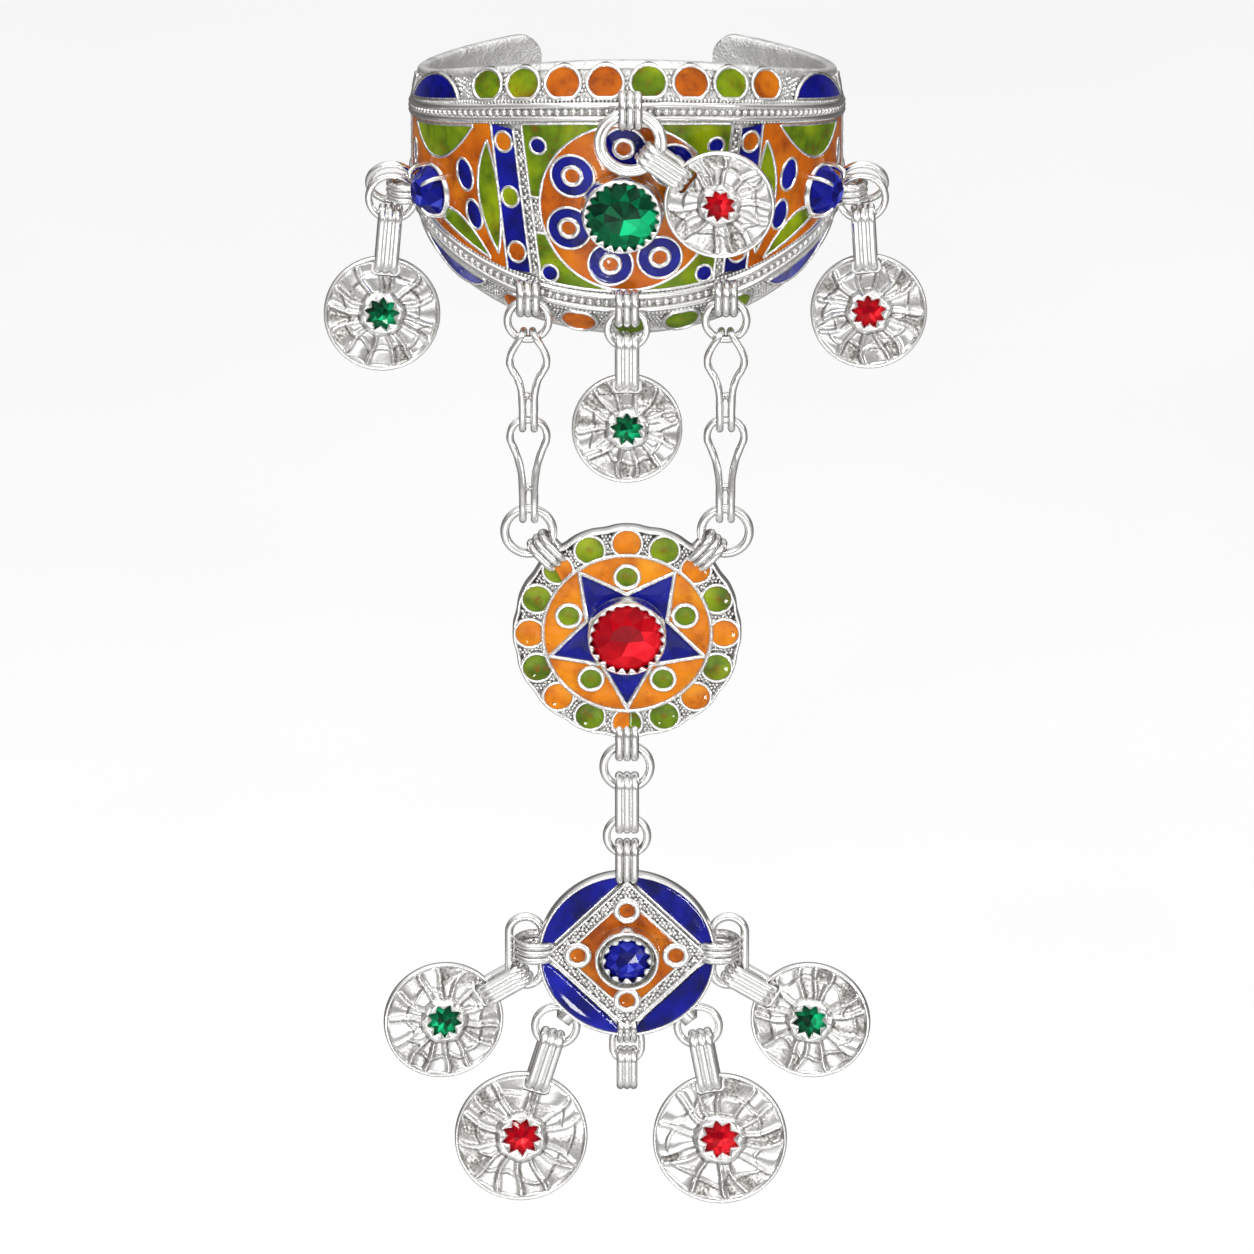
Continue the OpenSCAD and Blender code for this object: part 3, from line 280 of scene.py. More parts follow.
def silver_finish(name, bright, painted_shade, polish, worn, painted_shade_from=0.0, dents=0.2,
                  dent_scale=520.0, depth=0.00012):
    """Polish and worn are the roughness of its smooth and dull clouds, dents its bump."""
    material, tree, inputs = new_material(name, Metallic=1.0)
    hollow = mesh_painted_light_and_stain(tree)
    clouds, fine = grain(tree, 260.0), grain(tree, 2400.0, 4.0, 0.6)
    # Painted shade: the mesh's value, stippled by fine noise, mixes the metal towards the dark
    # colour, which stands for painted shade with some tarnish. The noise alone adds a faint
    # random stipple everywhere.
    shade_and_stipple = hollow * fine.between(0.4, 0.6, 0.65, 1.25) + fine.between(0.35, 0.8, -0.12, 0.22)
    stain_and_shade = shade_and_stipple.between(painted_shade_from, 1.0)
    metal = blended(tree, clouds.between(0.35, 0.7), bright, tuple(c * 0.93 for c in bright))
    feed(tree, inputs["Base Color"], blended(tree, stain_and_shade, metal, painted_shade))
    feed(tree, inputs["Roughness"],
         clouds.between(0.3, 0.75, polish, worn) + stain_and_shade * 0.25 + fine * 0.05)
    bump = Socket.node(tree, "Bump", Strength=dents, Distance=depth,
                       Height=grain(tree, dent_scale, 2.0) + fine * 0.35)
    feed(tree, inputs["Normal"], bump)
    return material


silver = silver_finish("bright_silver", (0.95, 0.945, 0.93), (0.2, 0.185, 0.165), 0.12, 0.26)
hammered = silver_finish("hammered_silver", (0.97, 0.965, 0.95), (0.24, 0.23, 0.21), 0.26, 0.5,
                         0.08, 0.9, 230.0, 0.0009)

rim_bead, bead_half, end_from, end_stretch, ripple_deep = 0.42, 0.5, 148, 1.05, 0.05
wall_t = np.concatenate([-np.linspace(end_angle, end_from, 16),
                         np.linspace(1 - end_from, end_from - 1, 236),
                         np.linspace(end_from, end_angle, 16)])
wall_t = np.clip(wall_t, 0.02 - end_angle, end_angle - 0.02)
from_end = (end_angle - np.abs(wall_t)) / deg_per_mm / end_stretch
cut = np.maximum(0, corner_round - from_end)
end_shrink = 1 - (corner_round - np.sqrt(corner_round ** 2 - cut ** 2)) / rim_z(wall_t)
strip_foot, strip_top = strip_z(wall_t), rim_z(wall_t) - 2 * bead_half
# The third value of each row is painted shade: a little on the field, more on the rim strips,
# none on the bead.
upper_rows = [(share * field_z(wall_t), 0.0, 0.1) for share in np.linspace(0, 1, 9)]
upper_rows += [(strip_foot + share * (strip_top - strip_foot), 0.05, 0.3)
               for share in (0.02, 0.3, 0.6, 0.96)]
for a in np.linspace(0, math.pi, 8):
    lift = rim_bead * max(0.0, math.sin(a)) ** 0.8 + 0.02
    upper_rows.append((rim_z(wall_t) - bead_half - bead_half * np.cos(a),
                       lift if a < math.pi else lift - 0.55, 0.0))
inner_rows = [(share * rim_z(wall_t), -sheet_thick, 0.0)
              for share in np.linspace(0.985, -0.985, 17)]
rows = [(-z, lift, painted_shade) for z, lift, painted_shade in upper_rows[::-1]] + upper_rows[1:] + inner_rows
heights = np.array([z for z, lift, painted_shade in rows]) * end_shrink
lifts = np.array([lift for z, lift, painted_shade in rows])[:, None] + 0 * wall_t
painted_shades = [painted_shade for z, lift, painted_shade in rows]
wall = Form()
ripple = ripple_deep * np.sin(wall_t * 0.31 + 1) * np.sin(heights * 0.7)
lifts = np.where(lifts < -sheet_thick / 2, lifts + ripple, lifts)
wall_points = np.stack([on_cuff(wall_t, z, d) for z, d in zip(heights, lifts)], 1)
n_across = len(heights)
wall.add(wall_points, lattice(len(wall_t), n_across), np.tile(painted_shades, len(wall_t)))
wall.add(wall_points[0], [list(range(n_across))[::-1]])
wall.add(wall_points[-1], [list(range(n_across))])
wall.made("cuff_wall", hammered, "silver", ["cuff"])


# Beaded bands: a row of small silver balls between two plain wires and two finely beaded
# ones, soldered along the cuff above and below the enamelled field. They fade at the back.
ball_r, plain_r, plain_off, edge_r, edge_off = 0.56, 0.5, 1.05, 0.34, 1.78


def beads(form, centres, ups, r, sides, rise, painted_foot_shade):
    """Half balls at the centres, with painted shade at their feet."""
    centres, ups = np.atleast_2d(centres), unit(np.atleast_2d(ups))
    r = np.broadcast_to(r, len(centres))
    helper = np.where(np.abs(ups[:, 2:3]) < 0.9, [[0.0, 0.0, 1.0]], [[1.0, 0.0, 0.0]])
    east = unit(np.cross(helper, ups))
    north = np.cross(ups, east)
    a = turn_steps(sides)
    rings = []
    for lift, out, half_turn in ((-0.25, 1.0, 0.0), (0.5, math.sqrt(0.75), 0.5)):
        turn = a + half_turn * math.pi / sides * 2
        rings.append(centres[:, None]
                     + (east[:, None] * np.cos(turn)[:, None] + north[:, None]
                        * np.sin(turn)[:, None]) * (out * r)[:, None, None]
                     + ups[:, None] * (lift * r * rise)[:, None, None])
    tops = centres + ups * (r * rise)[:, None]
    points = np.concatenate([rings[0], rings[1], tops[:, None]], 1)
    faces = []
    for j in range(sides):
        k = (j + 1) % sides
        faces += [[j, k, sides + k], [j, sides + k, sides + j], [sides + j, sides + k, 2 * sides]]
    faces = np.array(faces)[None] + (np.arange(len(centres)) * (2 * sides + 1))[:, None, None]
    shade = np.tile([painted_foot_shade] * sides + [0.1] * sides + [0.0], len(centres))
    form.add(points, faces.reshape(-1, 3), shade)


def even_steps(path, step):
    """Shares along a path so that the points stand evenly apart."""
    lengths = np.concatenate([[0], np.cumsum(np.linalg.norm(np.diff(path, axis=0), axis=1))])
    return np.interp(np.arange(0, lengths[-1], step), lengths, np.arange(len(path)))


def along(values, shares):
    return np.interp(shares, np.arange(len(values)), values)


def band_line(upper, offset, lift, step):
    """Points, outward lines and fading of a line that keeps its offset from a band's middle."""
    run_t = np.linspace(-band_end, band_end, 420)
    z = upper * (band_mid(run_t) + offset * band_half(run_t) / band_half_front)
    shares = even_steps(on_cuff(run_t, z, lift), step)
    t, z = along(run_t, shares), along(z, shares)
    fade = np.clip((band_end - np.abs(t)) / 10, 0.25, 1)
    return on_cuff(t, z, lift * fade), outward(t), fade


bands = Form()
for upper in (1, -1):
    path, up, fade = band_line(upper, 0, 0.35, 0.8)
    # The floor under the balls carries painted shade.
    floor_section = [(-1.0, -0.4), (-1.0, 0.12), (1.0, 0.12), (1.0, -0.4)]
    sweep(bands, path, floor_section, up, hollow=0.7, swell_by=fade)
    path, up, fade = band_line(upper, 0, 0.45, 1.26)
    beads(bands, path, up, ball_r * np.clip(fade, 0.4, 1), 10, 1.2, 0.65)
    for offset in (-1, 1):
        path, up, fade = band_line(upper, offset * plain_off, 0.5, 0.7)
        sweep(bands, path, round_section(plain_r, 8, 1.15), up, swell_by=fade)
        path, up, fade = band_line(upper, offset * edge_off, 0.26, 0.62)
        beads(bands, path, up, edge_r * np.clip(fade, 0.4, 1), 7, 1.15, 0.55)
bands.made("cuff_bands", silver, "silver")


# Cells of the cuff: flat strips of silver stood on edge, bent to leaves, petals, stripes and
# rings and soldered to the sheet; bare ground between them is covered with fine grains.
def strip_section(wide=1.0, tall=1.0):
    return [(s * wide, u * tall) for s, u in
            [(-0.26, -0.15), (-0.26, 0.5), (-0.19, 0.68), (-0.07, 0.77), (0.07, 0.77),
             (0.19, 0.68), (0.26, 0.5), (0.26, -0.15)]]


def smooth_line(points, step, closed=True):
    """The same line with its points evenly apart."""
    points = np.asarray(points, float)
    if closed:
        points = np.concatenate([points, points[:1]])
    shares = even_steps(points, step)
    line = np.stack([along(points[:, k], shares) for k in (0, 1)], -1)
    if closed and np.linalg.norm(line[-1] - line[0]) < step * 0.4:
        line = line[:-1]
    return line if closed else np.concatenate([line, points[-1:]])


def lay_wire(form, line, wide=1.0, tall=1.0, closed=True, seat=None):
    """Lays a strip of silver along a flat line; seat lifts flat points to the work."""
    path, up = (seat or cuff_seat)(smooth_line(line, 0.35, closed), 0.0)
    k, wave = np.arange(len(path)), 0.03
    wobble = 1 + wave * np.sin(k * 2.1) + wave * np.sin(k)
    # Painted shade on the strip's foot, where it meets the ground.
    sweep(form, path, strip_section(wide, tall), up, closed,
          [0.8, 0.35, 0.0, 0.0, 0.0, 0.0, 0.35, 0.8], wobble)


def cuff_seat(line, lift):
    line = np.asarray(line, float)
    t = line[:, 0] * deg_per_mm
    return on_cuff(t, line[:, 1], lift), outward(t)


def hump(f):
    return 1 - (2 * f - 1) ** 2


def flat_line(t, z):
    """Line on the flat pattern of the cuff, its angles turned to lengths round the face."""
    return np.stack([t / deg_per_mm, z], -1)


def between_lines(t, low, high):
    return np.concatenate([flat_line(t, low), flat_line(t, high)[::-1]])


def oval(x, z, w, h, n=40, lean=0.0):
    a = turn_steps(n)
    return np.stack([x + w * np.sin(a) + lean * h * np.cos(a), z + h * np.cos(a)], -1)


share = np.linspace(0, 1, 25)
moon_t = -76 + 31 * share
moon_z = field_z(moon_t) - 0.3
half_moon = between_lines(moon_t, moon_z - 5.3 * hump(share), moon_z)
leaf_t = -62 + 23.2 * share
leaf_z = -field_z(leaf_t) + 0.4 + 1.5 * (1 - share)
low_leaf = between_lines(leaf_t, leaf_z, leaf_z + 3.2 * hump(share))
tall_z = -9.4 + 17.6 * share
tall_t = -36.2 - 4 * share
tall_leaf = np.concatenate([flat_line(tall_t - 5.0 * hump(share), tall_z),
                            flat_line(tall_t + 2.2 * hump(share), tall_z)[::-1]])
petals = [oval(-48.4 / deg_per_mm, 1.6, 1.75, 2.45, lean=-0.15),
          oval(-44.8 / deg_per_mm, -4.3, 1.6, 2.25, lean=-0.2),
          oval(-78 / deg_per_mm, 0.2, 0.95, 2.1)]


def stripe_t(z):
    return -32.6 - 0.24 * z


stripe_half, grain_far, stripe_dot_z, roundel_r = 3.6, 6.3, 8.6, 13.2
stripe_ends = [side * float(field_z(abs(stripe_t(side * 11)) + stripe_half))
               for side in (-1, 1)]
stripe_z = np.linspace(*stripe_ends, 15)
stripe_edges = [flat_line(stripe_t(stripe_z) + side, stripe_z)
                for side in (-stripe_half, stripe_half)]
stripe = np.concatenate([stripe_edges[0], stripe_edges[1][::-1]])
grain_edge = flat_line(stripe_t(stripe_z) + grain_far, stripe_z)
grain_strip = np.concatenate([stripe_edges[1], grain_edge[::-1]])
stripe_dots = [oval(stripe_t(z) / deg_per_mm, z, 1.5, 1.6, 26)
               for z in (stripe_dot_z, 0.0, -stripe_dot_z)]
roundel = oval(0, 0, roundel_r, roundel_r, 90)


def eye_lines(r, n):
    """Circles of one size where the seven eyes of the round panel stand."""
    turns, eye_at = [math.radians(a) for a in (3, 60, 113, 165, 211, 262, 314)], 9.4
    return [oval(-eye_at * math.sin(a), eye_at * math.cos(a), r, r, n) for a in turns]


eyes, pupils = eye_lines(3.3, 44), eye_lines(1.4, 26)


def corner_cell(side):
    """Green corner between the round panel, a band and the grained strip."""
    tip, near_middle = 0.6 if side > 0 else -5.0, -2.2
    z = np.linspace(tip, side * 11.5, 12)
    edge = flat_line(stripe_t(z) + grain_far, z)
    top_x = np.linspace(edge[-1, 0], near_middle, 12)
    top_z = side * field_z(top_x * deg_per_mm)
    edge[-1, 1] = top_z[0]
    x_round = np.linspace(near_middle, -roundel_r * math.cos(math.asin(abs(tip) / roundel_r)), 22)
    round_z = side * np.sqrt(roundel_r ** 2 - x_round ** 2)
    return np.concatenate([edge, np.stack([top_x, top_z], -1)[1:],
                           np.stack([x_round, round_z], -1)])


corner_cells = [corner_cell(1), corner_cell(-1)]
corner_dots = [oval(t / deg_per_mm, z, 1.3, 1.3, 24) for t, z in ((-24.2, 8.9), (-20.8, -11.2))]


def rim_leaf(start, run):
    t = start + run * share
    low = strip_z(t) + 0.3
    return between_lines(t, low, low + (rim_z(t) - low - 0.5) * hump(share) ** 0.85)


def mirrored(loop):
    return (np.asarray(loop) * [-1, 1])[::-1]


def flipped(loop):
    return (np.asarray(loop) * [1, -1])[::-1]


rim_leaves = {1: rim_leaf(-84.3, 32.8), -1: flipped(rim_leaf(-72, 31))}
rim_bars = {1: [], -1: []}
for i in range(3):
    bar_t = np.array([-87.6 - 3.4 * i, -85.6 - 3.4 * i])
    rim_bars[1].append(between_lines(bar_t, strip_z(bar_t) + 0.3, rim_z(bar_t) - 1.2))
    rim_bars[-1].append(flipped(rim_bars[1][-1]))
disc_t = {1: (-42, -30, -18, -6, 6, 18, 30, 42), -1: (-31.5, -13.5, 1, 15.4, 31.5)}
disc_r = 2.75


def rim_disc(t, upper):
    """Arch of a rim strip: round at the rim, cut off straight by the beaded band."""
    slope = math.cos(float(strip_slope(t)))
    wide, r = disc_r + 0.006 * abs(t), disc_r - 0.3 * (t / 42) ** 2
    line = oval(t / deg_per_mm, float(rim_z(t)) - 0.35 - r * slope, wide, r * slope, 44)
    line[:, 1] = np.maximum(line[:, 1], strip_z(line[:, 0] * deg_per_mm) + 0.2)
    return line if upper > 0 else flipped(line)


def inside(points, loop):
    """Which flat points lie inside a closed line."""
    x, y = points[:, 0][:, None], points[:, 1][:, None]
    ax, ay = loop[:, 0][None], loop[:, 1][None]
    bx, by = np.roll(loop[:, 0], -1)[None], np.roll(loop[:, 1], -1)[None]
    rise = np.where(by == ay, 1e-12, by - ay)
    crossing = ((ay > y) != (by > y)) & (x < (bx - ax) * (y - ay) / rise + ax)
    return crossing.sum(1) % 2 == 1


def edge_distance(points, loops):
    """How far each flat point lies from the nearest of some closed lines."""
    nearest = np.full(len(points), 1e9)
    for loop in loops:
        a, b = loop[None], np.roll(loop, -1, 0)[None]
        way = b - a
        share_on = ((points[:, None] - a) * way).sum(-1) / np.maximum((way ** 2).sum(-1), 1e-12)
        foot = a + way * np.clip(share_on, 0, 1)[..., None]
        nearest = np.minimum(nearest, np.linalg.norm(points[:, None] - foot, axis=-1).min(1))
    return nearest


def staggered(loops, pitch, margin):
    """Spots in offset rows inside the first line, out of the others and clear of them all."""
    low, high, row_gap = loops[0].min(0), loops[0].max(0), 0.866
    spots = [np.zeros((0, 2))]
    for i, z in enumerate(np.arange(low[1] + pitch / 2, high[1], pitch * row_gap)):
        x = np.arange(low[0] + (i % 2) * pitch / 2, high[0], pitch)
        spots.append(np.stack([x, np.full(len(x), z)], -1))
    spots = np.concatenate(spots)
    spots = spots[inside(spots, loops[0])]
    for hole in loops[1:]:
        spots = spots[~inside(spots, hole)]
    return spots[edge_distance(spots, loops) > margin] if len(spots) else spots


def grains(form, loop, keep_out, pitch, r, margin, seed, lift, seat=None):
    """Covers bare ground inside a line with fine grains, clear of the lines in keep_out."""
    spots = staggered([np.asarray(loop, float), *map(np.asarray, keep_out)], pitch, margin)
    rng = np.random.default_rng(seed)
    spots = spots + rng.normal(0, pitch * 0.07, spots.shape)
    centres, ups = (seat or cuff_seat)(spots, lift)
    beads(form, centres, ups, r * rng.uniform(0.8, 1.12, len(spots)), 6, 1.2, 0.35)


cells = Form()
left_lines = [half_moon, low_leaf, tall_leaf, *petals, *corner_cells, *stripe_dots, *corner_dots,
              *rim_leaves.values()]
for bar_pair in zip(rim_bars[1], rim_bars[-1]):
    left_lines += bar_pair
for line in left_lines:
    lay_wire(cells, line)
    lay_wire(cells, mirrored(line))
for edge in (*stripe_edges, grain_edge):
    lay_wire(cells, edge, closed=False)
    lay_wire(cells, edge * [-1, 1], closed=False)
end_t, strip_parting, fine_grain = -86.5, 50.5, (0.6, 0.3, 0.36)
end_edge = flat_line(np.full(12, end_t), np.linspace(-1, 1, 12) * float(field_z(end_t)))
for side in (1, -1):
    lay_wire(cells, end_edge * [side, 1], closed=False)
lay_wire(cells, roundel)
for eye, pupil in zip(eyes, pupils):
    lay_wire(cells, eye)
    lay_wire(cells, pupil, 1.55, 1.1)
for side in (1, -1):
    t = np.linspace(-strip_parting, strip_parting, 60)
    ground = between_lines(t, side * (strip_z(t) + 0.1), side * (rim_z(t) - 1.0))
    rings = [rim_disc(at, side) for at in disc_t[side]]
    for ring in rings:
        lay_wire(cells, ring, 1.2, 1.1)
    leaves = [rim_leaves[side], mirrored(rim_leaves[side])]
    grains(cells, ground, rings + leaves, *fine_grain, 5 + side, 0.12)
    t = np.linspace(-100, -strip_parting, 30)
    tail = between_lines(t, side * (strip_z(t) + 0.2), side * (rim_z(t) - 1.0))
    keep = [leaves[0], *rim_bars[side]]
    grains(cells, tail, keep, *fine_grain, 10 + side, 0.12)
    grains(cells, mirrored(tail), [mirrored(k) for k in keep], *fine_grain, 8 + side, 0.12)
for side in (1, -1):
    grains(cells, grain_strip * [side, 1], (), 0.66, 0.4, 0.36, 17 + side, 0.25)
    gap = np.array([[-26.2 / deg_per_mm, 0.5], [-13.3, 0.5], [-12.6, -4.6],
                    [-25.1 / deg_per_mm, -4.9]])
    grains(cells, gap * [side, 1], (), 0.66, 0.38, 0.2, 27 + side, 0.2)
cells.made("cuff_cell_wires", silver, "silver")


# Enamel of the cuff: ground glass in three colours, packed wet into the cells and fired
# until it flows. It creeps up the wires and keeps small pits and clouds of colour.
def enamel_finish(name, deep, full, light, stain_and_shade, stain_share):
    """Clouds of three depths of one colour, a stain where it has burnt, and small pits."""
    material, tree, inputs = new_material(name, Coat_Weight=0.28, Coat_Roughness=0.02, IOR=1.5,
                                          Specular_IOR_Level=0.06)
    clouds, fine = grain(tree, 330.0), grain(tree, 1500.0, 3.0, 0.6)
    pool, burnt = grain(tree, 140.0, 2.0), mesh_painted_light_and_stain(tree)
    colour = blended(tree, clouds.between(0.38, 0.66), full, deep)
    colour = blended(tree, pool.between(0.48, 0.7, 0, 0.75), colour, light)
    rust = burnt.between(0.0, 1.0) * 0.8 + (clouds * fine).between(0.3, 0.42) * stain_share
    colour = blended(tree, rust.between(0.0, 1.0), colour, stain_and_shade)
    where = Socket.node(tree, "TexCoord", out="Object")
    pits = Socket.node(tree, "TexVoronoi", Vector=where, Scale=900.0)
    pit = pits.between(0.06, 0.2, 1.0, 0.0) * fine.between(0.5, 0.62)
    colour = blended(tree, pit * 0.75, colour, tuple(c * 0.35 for c in deep))
    feed(tree, inputs["Base Color"], colour)
    feed(tree, inputs["Roughness"], clouds.between(0.3, 0.7, 0.08, 0.2) + pit * 0.3)
    bump = Socket.node(tree, "Bump", Strength=0.6, Distance=0.0003,
                       Height=clouds * 0.8 + fine * 0.1 - pit * 0.5)
    feed(tree, inputs["Normal"], bump)
    return material


blue_enamel = enamel_finish("blue_enamel", (0.001, 0.002, 0.075), (0.002, 0.004, 0.22),
                            (0.008, 0.013, 0.38), (0.001, 0.002, 0.03), 0.2)
green_enamel = enamel_finish("green_enamel", (0.055, 0.11, 0.002), (0.14, 0.23, 0.002),
                             (0.34, 0.42, 0.004), (0.24, 0.065, 0.004), 0.5)
orange_enamel = enamel_finish("orange_enamel", (0.32, 0.06, 0.002), (0.52, 0.112, 0.002),
                              (0.67, 0.2, 0.004), (0.17, 0.035, 0.004), 0.6)


def pour(form, outer, holes=(), pitch=0.42, seat=None, full=0.6, dome=0.16, spot=0.0,
         burnt=None):
    """Fills a flat cell with enamel to the height full, its middle higher by dome. Spot
    stains the middle, and burnt gives the side on which the colour has turned."""
    loops = [smooth_line(line, 0.4) for line in (outer, *holes)]
    points = [*loops, staggered(loops, pitch, pitch * 0.4)]
    edges, start = [], 0
    for loop in loops:
        n = len(loop)
        edges += [(start + i, start + (i + 1) % n) for i in range(n)]
        start += n
    points = np.concatenate(points)
    made = geometry.delaunay_2d_cdt([Vector(p) for p in points], edges, [], 0, 1e-5)
    flat = np.array([tuple(p) for p in made[0]])
    faces = np.array([f for f in made[2] if len(f) == 3])
    middle = flat[faces].mean(1)
    keep = inside(middle, loops[0])
    for hole in loops[1:]:
        keep &= ~inside(middle, hole)
    faces = faces[keep]
    away, creep = edge_distance(flat, loops), 0.14
    lift = full - creep * (1 - np.exp(-away / 0.3)) + dome * (1 - np.exp(-away / 0.8))
    centre, spot_r = loops[0].mean(0), 0.45
    shade = spot * np.exp(-(np.linalg.norm(flat - centre, axis=1) / spot_r) ** 2)
    if burnt:
        shade = np.clip(shade + ((flat - centre) @ np.array(burnt) - 0.2) * 0.7, 0, 1)
    seated, up = (seat or cuff_seat)(flat, 0.0)
    a, b, c = (seated[faces[:, k]] for k in range(3))
    backward = (np.cross(b - a, c - a) * up[faces[:, 0]]).sum(1) < 0
    faces[backward] = faces[backward][:, ::-1]
    form.add(seated + up * lift[:, None], faces, shade)


def fired(part, **poured):
    """Makes a part's enamel, each colour from its form and its finish."""
    for colour, (form, finish) in poured.items():
        slot = colour + "_enamel"
        form.made("%s_%s_glass" % (part, colour), finish, slot, ["%s_%s" % (part, slot)])


blues, greens, oranges = Form(), Form(), Form()
lapis_t, lapis_z, emerald_t, emerald_z = 63, -3.2, -1.2, -0.6
field_t = np.linspace(end_t, -29.4, 40)
field = between_lines(field_t, -field_z(field_t), field_z(field_t))
stripe_cut = np.concatenate([stripe_edges[0], [[-5.0, 14.5], [-5.0, -14.5]]])
lapis_hole = oval(-lapis_t / deg_per_mm, lapis_z, 4.0, 4.0)
field_holes = [half_moon, low_leaf, tall_leaf, *petals, stripe_cut, lapis_hole]
for turn in (np.asarray, mirrored):
    pour(oranges, turn(field), [turn(hole) for hole in field_holes])
    pour(blues, turn(stripe), [turn(dot) for dot in stripe_dots])
    for petal in petals:
        pour(blues, turn(petal))
    for cell in (half_moon, low_leaf):
        pour(greens, turn(cell), [turn(lapis_hole)])
    pour(greens, turn(tall_leaf))
    for cell, dot in zip(corner_cells, corner_dots):
        pour(greens, turn(cell), [turn(dot)])
        pour(blues, turn(dot))
    for form, dot in zip((oranges, greens, oranges), stripe_dots):
        pour(form, turn(dot), spot=0.3)
    for leaf in rim_leaves.values():
        pour(blues, turn(leaf))
    for form, *bar_pair in zip((oranges, blues, oranges), rim_bars[1], rim_bars[-1]):
        for bar in bar_pair:
            pour(form, turn(bar))
pour(oranges, roundel, [*eyes, oval(emerald_t / deg_per_mm, emerald_z, 5.8, 5.8, 40)])
for eye, pupil in zip(eyes, pupils):
    pour(blues, eye, [pupil])
    pour(oranges, pupil, spot=0.25)
disc_colours = {1: "ggoogogo", -1: "ooggg"}
burnt_sides = {(1, 1): (0.2, -0.6), (1, 5): (0.5, 0.3)}
for side in (1, -1):
    for i, (at, colour) in enumerate(zip(disc_t[side], disc_colours[side])):
        pour({"g": greens, "o": oranges}[colour], rim_disc(at, side), dome=0.24, spot=0.4,
             burnt=burnt_sides.get((side, i)))
fired("cuff", blue=(blues, blue_enamel), green=(greens, green_enamel),
      orange=(oranges, orange_enamel))


# Settings and stones of the cuff: a cup of silver with small teeth bent over the emerald,
# and claws that hold a lapis-blue stone at each side. The cups are soldered to the sheet.
def cuff_place(t, z):
    """Frame of a flat piece on the cuff, its third axis along the face's outward line."""
    foot = on_cuff(t, z)
    n = outward(t)
    slope = float(strip_slope(t)) if abs(z) > float(strip_z(t)) else 0.0
    turn = Matrix.Rotation(math.atan2(n[0], -n[1]), 4, "Z")
    tip = Matrix.Rotation(math.pi / 2 - math.copysign(slope, z), 4, "X")
    return np.array(Matrix.Translation(Vector(foot)) @ turn @ tip)


def placed(place, points):
    points = np.asarray(points, float)
    return points @ place[:3, :3].T + place[:3, 3]


def turned_form(form, place, shape, sides, hollow=0.0):
    """Lathe work: rows of a radius and a height, each a number or one value for every side."""
    rows = [polar(r, turn_steps(sides), h) for r, h in shape]
    shade = np.repeat(np.broadcast_to(hollow, len(rows)), sides)
    form.add(placed(place, rows), lattice(len(rows), sides), shade)


def toothed_cup(form, place, stone_r, teeth, height, wall, reach, low=-0.4):
    """Silver cup round a stone, its rim cut to teeth that are bent inwards."""
    sides = teeth * 8
    a = turn_steps(sides)
    tooth = (0.5 + 0.5 * np.cos(a * teeth)) ** 0.8
    crook = 1 + 0.12 * np.sin(a * 3 + 1) + 0.1 * np.sin(a * 7)
    inner = stone_r + 0.12 - reach * tooth * crook
    out = stone_r + wall
    shape = [(out + 0.22, low), (out + 0.22, 0.25), (out + 0.02, 0.4), (out, height * 0.55),
             (out - 0.02, height - 0.5), (out - 0.12, height - 0.2), (out - 0.3, height - 0.03),
             (stone_r + 0.16 - 0.1 * tooth, height + 0.02),
             (inner + 0.12, height - 0.1 - 0.22 * tooth), (inner, height - 0.2 - 0.3 * tooth),
             (inner + 0.05, height - 0.42 - 0.3 * tooth), (stone_r + 0.12, height - 0.6),
             (stone_r + 0.1, height - 2.0)]
    # Painted shade at the cup's foot and down inside it behind the teeth.
    turned_form(form, place, shape, sides, [0.7, 0.5, 0.3, 0, 0, 0, 0, 0, 0, 0.1, 0.5, 0.9, 0.9])


def cut_stone(form, place, r, girdle, crown, depth, sides, seed, table=0.5):
    """Round brilliant: every facet is its own plane and gets its own share of painted light.
    The girdle is its height over the seat, crown and depth go up and down from there."""
    rng = np.random.default_rng(seed)
    half = sides // 2

    girdle_low = polar(r, turn_steps(sides), girdle - 0.15)
    girdle_high = polar(r, turn_steps(sides), girdle + 0.12)
    middle = polar(r * 0.78, turn_steps(half, 0.5), girdle + crown * 0.66)
    top = polar(r * table, turn_steps(half), girdle + crown)
    heart = np.array([0.05 * r, -0.04 * r, girdle + crown + 0.12])
    foot = polar(r * 0.4, turn_steps(half), girdle - depth)

    def facet(points, light):
        shade = float(np.clip(light + rng.normal(0, 0.19), 0, 1))
        form.add(placed(place, points), [list(range(len(points)))], shade)

    def lit(angle, base):
        """Painted light: it gathers on the side away from the lamp, as it does inside a stone."""
        return base + 0.18 * math.cos(angle + math.radians(55))

    for i in range(half):
        j, angle = (i + 1) % half, (i + 0.5) * 2 * math.pi / half
        g0, g1, g2 = 2 * i, 2 * i + 1, (2 * i + 2) % sides
        # Painted light: the table's centre facets are bright in one sector and dark elsewhere.
        glow = max(0.0, math.cos(angle + math.radians(60))) ** 1.5
        facet([top[i], top[j], heart], 0.08 + 0.85 * glow)
        facet([top[j], top[i], middle[i]][::-1], lit(angle, 0.5))
        facet([top[i], middle[i - 1], girdle_high[g0], middle[i]], lit(angle - 0.4, 0.42))
        facet([middle[i], girdle_high[g0], girdle_high[g1]], lit(angle, 0.3))
        facet([middle[i], girdle_high[g1], girdle_high[g2]], lit(angle, 0.46))
        facet([foot[j], foot[i], girdle_low[g0], girdle_low[g1], girdle_low[g2]], 0.3)
    for i in range(sides):
        j = (i + 1) % sides
        facet([girdle_low[i], girdle_low[j], girdle_high[j], girdle_high[i]], 0.3)
    form.add(placed(place, foot[::-1]), [list(range(half))], 0.1)


